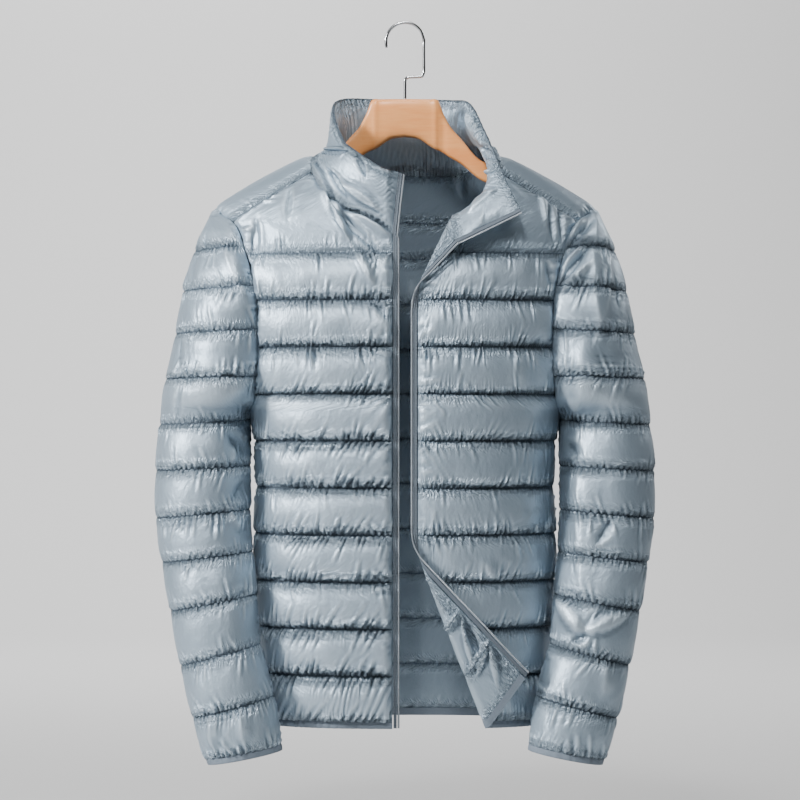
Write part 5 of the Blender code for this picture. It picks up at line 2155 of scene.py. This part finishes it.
@dataclass(frozen=True)
class Hanger:
    """The wooden hanger with its shaped shoulders, and its wire hook."""

    bend: float = 0.0228
    wire: float = 0.0018
    jog_z: float = -0.0630
    foot_z: float = -0.0902
    squareness: float = 0.42
    bar: Table = table(
        "x top bottom y thick",
        (0.0000, -0.0905, -0.1356, 0.000, 0.0230),
        (0.0180, -0.0905, -0.1388, 0.000, 0.0230),
        (0.0310, -0.0906, -0.1472, 0.000, 0.0225),
        (0.0365, -0.0906, -0.1506, -0.001, 0.0210),
        (0.0405, -0.0930, -0.1520, -0.001, 0.0190),
        (0.0455, -0.1060, -0.1545, -0.001, 0.0175),
        (0.0520, -0.1195, -0.1590, -0.002, 0.0170),
        (0.0670, -0.1380, -0.1680, -0.003, 0.0165),
        (0.0900, -0.1635, -0.1870, -0.004, 0.0160),
        (0.1070, -0.1690, -0.1945, -0.004, 0.0160),
        (0.1200, -0.1719, -0.1984, -0.004, 0.0165),
        (0.1600, -0.1892, -0.2154, -0.003, 0.0160),
        (0.2000, -0.2106, -0.2314, -0.002, 0.0140),
        (0.2100, -0.2174, -0.2284, -0.002, 0.0090),
    )

    def wood(self) -> Thing:
        """The bar: rounded upright ovals carried along X.

        Returns:
            The object.
        """
        keys = self.bar.column("x")
        half = np.unique(np.concatenate([np.linspace(keys[i], keys[i + 1], 9) for i in range(len(keys) - 1)]))
        x = np.concatenate([-half[:0:-1], half])
        top, bottom, y, thick = (self.bar.at(name, np.abs(x)) for name in ("top", "bottom", "y", "thick"))
        turn = full_turn(48)
        wide, high = signed_power(np.cos(turn), self.squareness), signed_power(np.sin(turn), self.squareness)
        ring_x = np.broadcast_to(x[:, None], (len(x), len(turn)))
        ring_y = y[:, None] + wide * thick[:, None] / 2
        ring_z = (top + bottom)[:, None] / 2 + high * (top - bottom)[:, None] / 2
        return MeshMaker.tube("hanger_wood", np.stack([ring_x, ring_y, ring_z], axis=-1))

    def hook(self) -> Thing:
        """The hook: a round wire carried along its bend, its jog and its shank.

        Returns:
            The object.
        """
        turn = np.radians(np.linspace(200, -10, 60))
        centre_z = self.wire - self.bend
        bend = np.stack([self.bend * np.cos(turn), self.bend * np.sin(turn) + centre_z], axis=-1)
        tail = [(self.bend, self.jog_z + 0.006), (self.bend - 0.002, self.jog_z), (0.003, self.jog_z - 0.001)]
        rough = np.concatenate([bend, tail, [(0.0, self.jog_z - 0.004), (0.0, self.foot_z)]])
        flat = np.stack([rough[:, 0], 0 * rough[:, 0], rough[:, 1]], axis=-1)
        path = soften(resample(flat, np.linspace(0, 1, 200))[:, None], 6)[:, 0]
        along = unit(np.gradient(path, axis=0))
        beside = np.stack([along[:, 2], 0 * along[:, 0], -along[:, 0]], axis=-1)
        turn = full_turn(16)
        reach = ring_offsets(beside, np.array([[0, 1.0, 0]]), np.cos(turn), np.sin(turn))
        return MeshMaker.tube("hanger_hook", path[:, None] + reach * self.wire)

    def build(self, finishes: Finishes) -> list[Thing]:
        """Builds and dresses the bar and the hook."""
        wood = finishes.dress(self.wood(), "wood", "hanger_wood")
        return [wood, finishes.dress(self.hook(), "steel", "hanger_hook")]


@dataclass(frozen=True)
class Lamp:
    """A square soft light and what it is aimed at: the jacket's middle, unless told otherwise."""

    name: str
    place: Vector3
    size: float
    power: float
    target: Vector3 = (0.0, 0.0, -0.45)

    def build(self) -> Thing:
        """Places the light and turns it to its target."""
        data = bpy.data.lights.new(self.name, "AREA")
        data.size, data.energy = self.size, self.power
        made = placed(self.name, data)
        made.location = self.place
        aim = np.array(self.target) - np.array(self.place)
        flat = math.hypot(aim[0], aim[1])
        made.rotation_euler = (math.atan2(flat, -aim[2]), 0.0, math.atan2(-aim[0], aim[1]))
        return made


@dataclass(frozen=True)
class Studio:
    """Floor, backdrop, lights and camera."""

    camera_place: Vector3 = (-0.006, -4.0, -0.4512)
    lens: float = 150.0
    floor_z: float = -1.02
    wall_y: float = 5.6
    wall_height: float = 6.0
    sweep_radius: float = 1.6
    reach: float = 9.0
    sky: Colour = (0.75, 0.78, 0.82, 1.0)
    sky_strength: float = 0.018
    lamps: tuple[Lamp, ...] = (
        Lamp("key", (-2.3, -1.15, 0.70), 0.45, 112.0),
        Lamp("front", (-0.5, -2.6, 2.0), 0.5, 70.0),
        Lamp("fill", (2.4, -1.2, 0.2), 1.2, 1.0),
        Lamp("top", (0.1, -0.5, 1.6), 0.6, 12.0),
        Lamp("wall", (-0.8, 2.6, 2.6), 1.2, 300.0, (-0.4, 5.6, -0.2)),
        Lamp("back", (2.2, 2.0, 1.1), 0.9, 26.0),
    )

    def sweep(self) -> Thing:
        """A floor that curves up into a backdrop behind the jacket.

        Returns:
            The object.
        """
        turn, radius, reach = np.linspace(0, np.pi / 2, 17), self.sweep_radius, self.reach
        y = np.concatenate([[-reach], self.wall_y - radius + radius * np.sin(turn), [self.wall_y]])
        z = np.concatenate([[0.0], radius - radius * np.cos(turn), [self.wall_height]]) + self.floor_z
        across = np.linspace(-reach, reach, 3)
        points = np.stack([np.stack([x + 0 * y, y, z], axis=-1) for x in across], axis=1)
        made = MeshMaker.build("backdrop", points.reshape(-1, 3), [Grid(points, points[..., 0]).cells])
        made.data.materials.append(Backdrop().make())
        return made

    def build(self) -> None:
        """Sets up the stage and the scene's camera."""
        lights = [lamp.build() for lamp in self.lamps]
        self.sweep()
        world = bpy.data.worlds.new("studio")
        world.use_nodes = True
        background = world.node_tree.nodes["Background"].inputs
        background["Color"].default_value, background["Strength"].default_value = self.sky, self.sky_strength
        bpy.context.scene.world = world
        data = bpy.data.cameras.new("camera")
        data.lens, data.sensor_width = self.lens, 36.0
        camera = placed("camera", data)
        camera.location = self.camera_place
        camera.rotation_euler = (math.pi / 2, 0.0, 0.0)
        bpy.context.scene.camera = camera


def main() -> None:
    """Builds every piece, then the studio; the pieces' sizes are logged."""
    logging.basicConfig(level=logging.INFO, format="%(message)s")
    form, detail, finishes = JacketForm(), detail_level(), Finishes()
    trims = [*Bindings(form, detail).build(finishes), *FrontZip(form, detail).build(finishes)]
    Garment(form, detail).build(finishes, trims)
    Hanger().build(finishes)
    Studio().build()


if __name__ == "__main__":
    main()
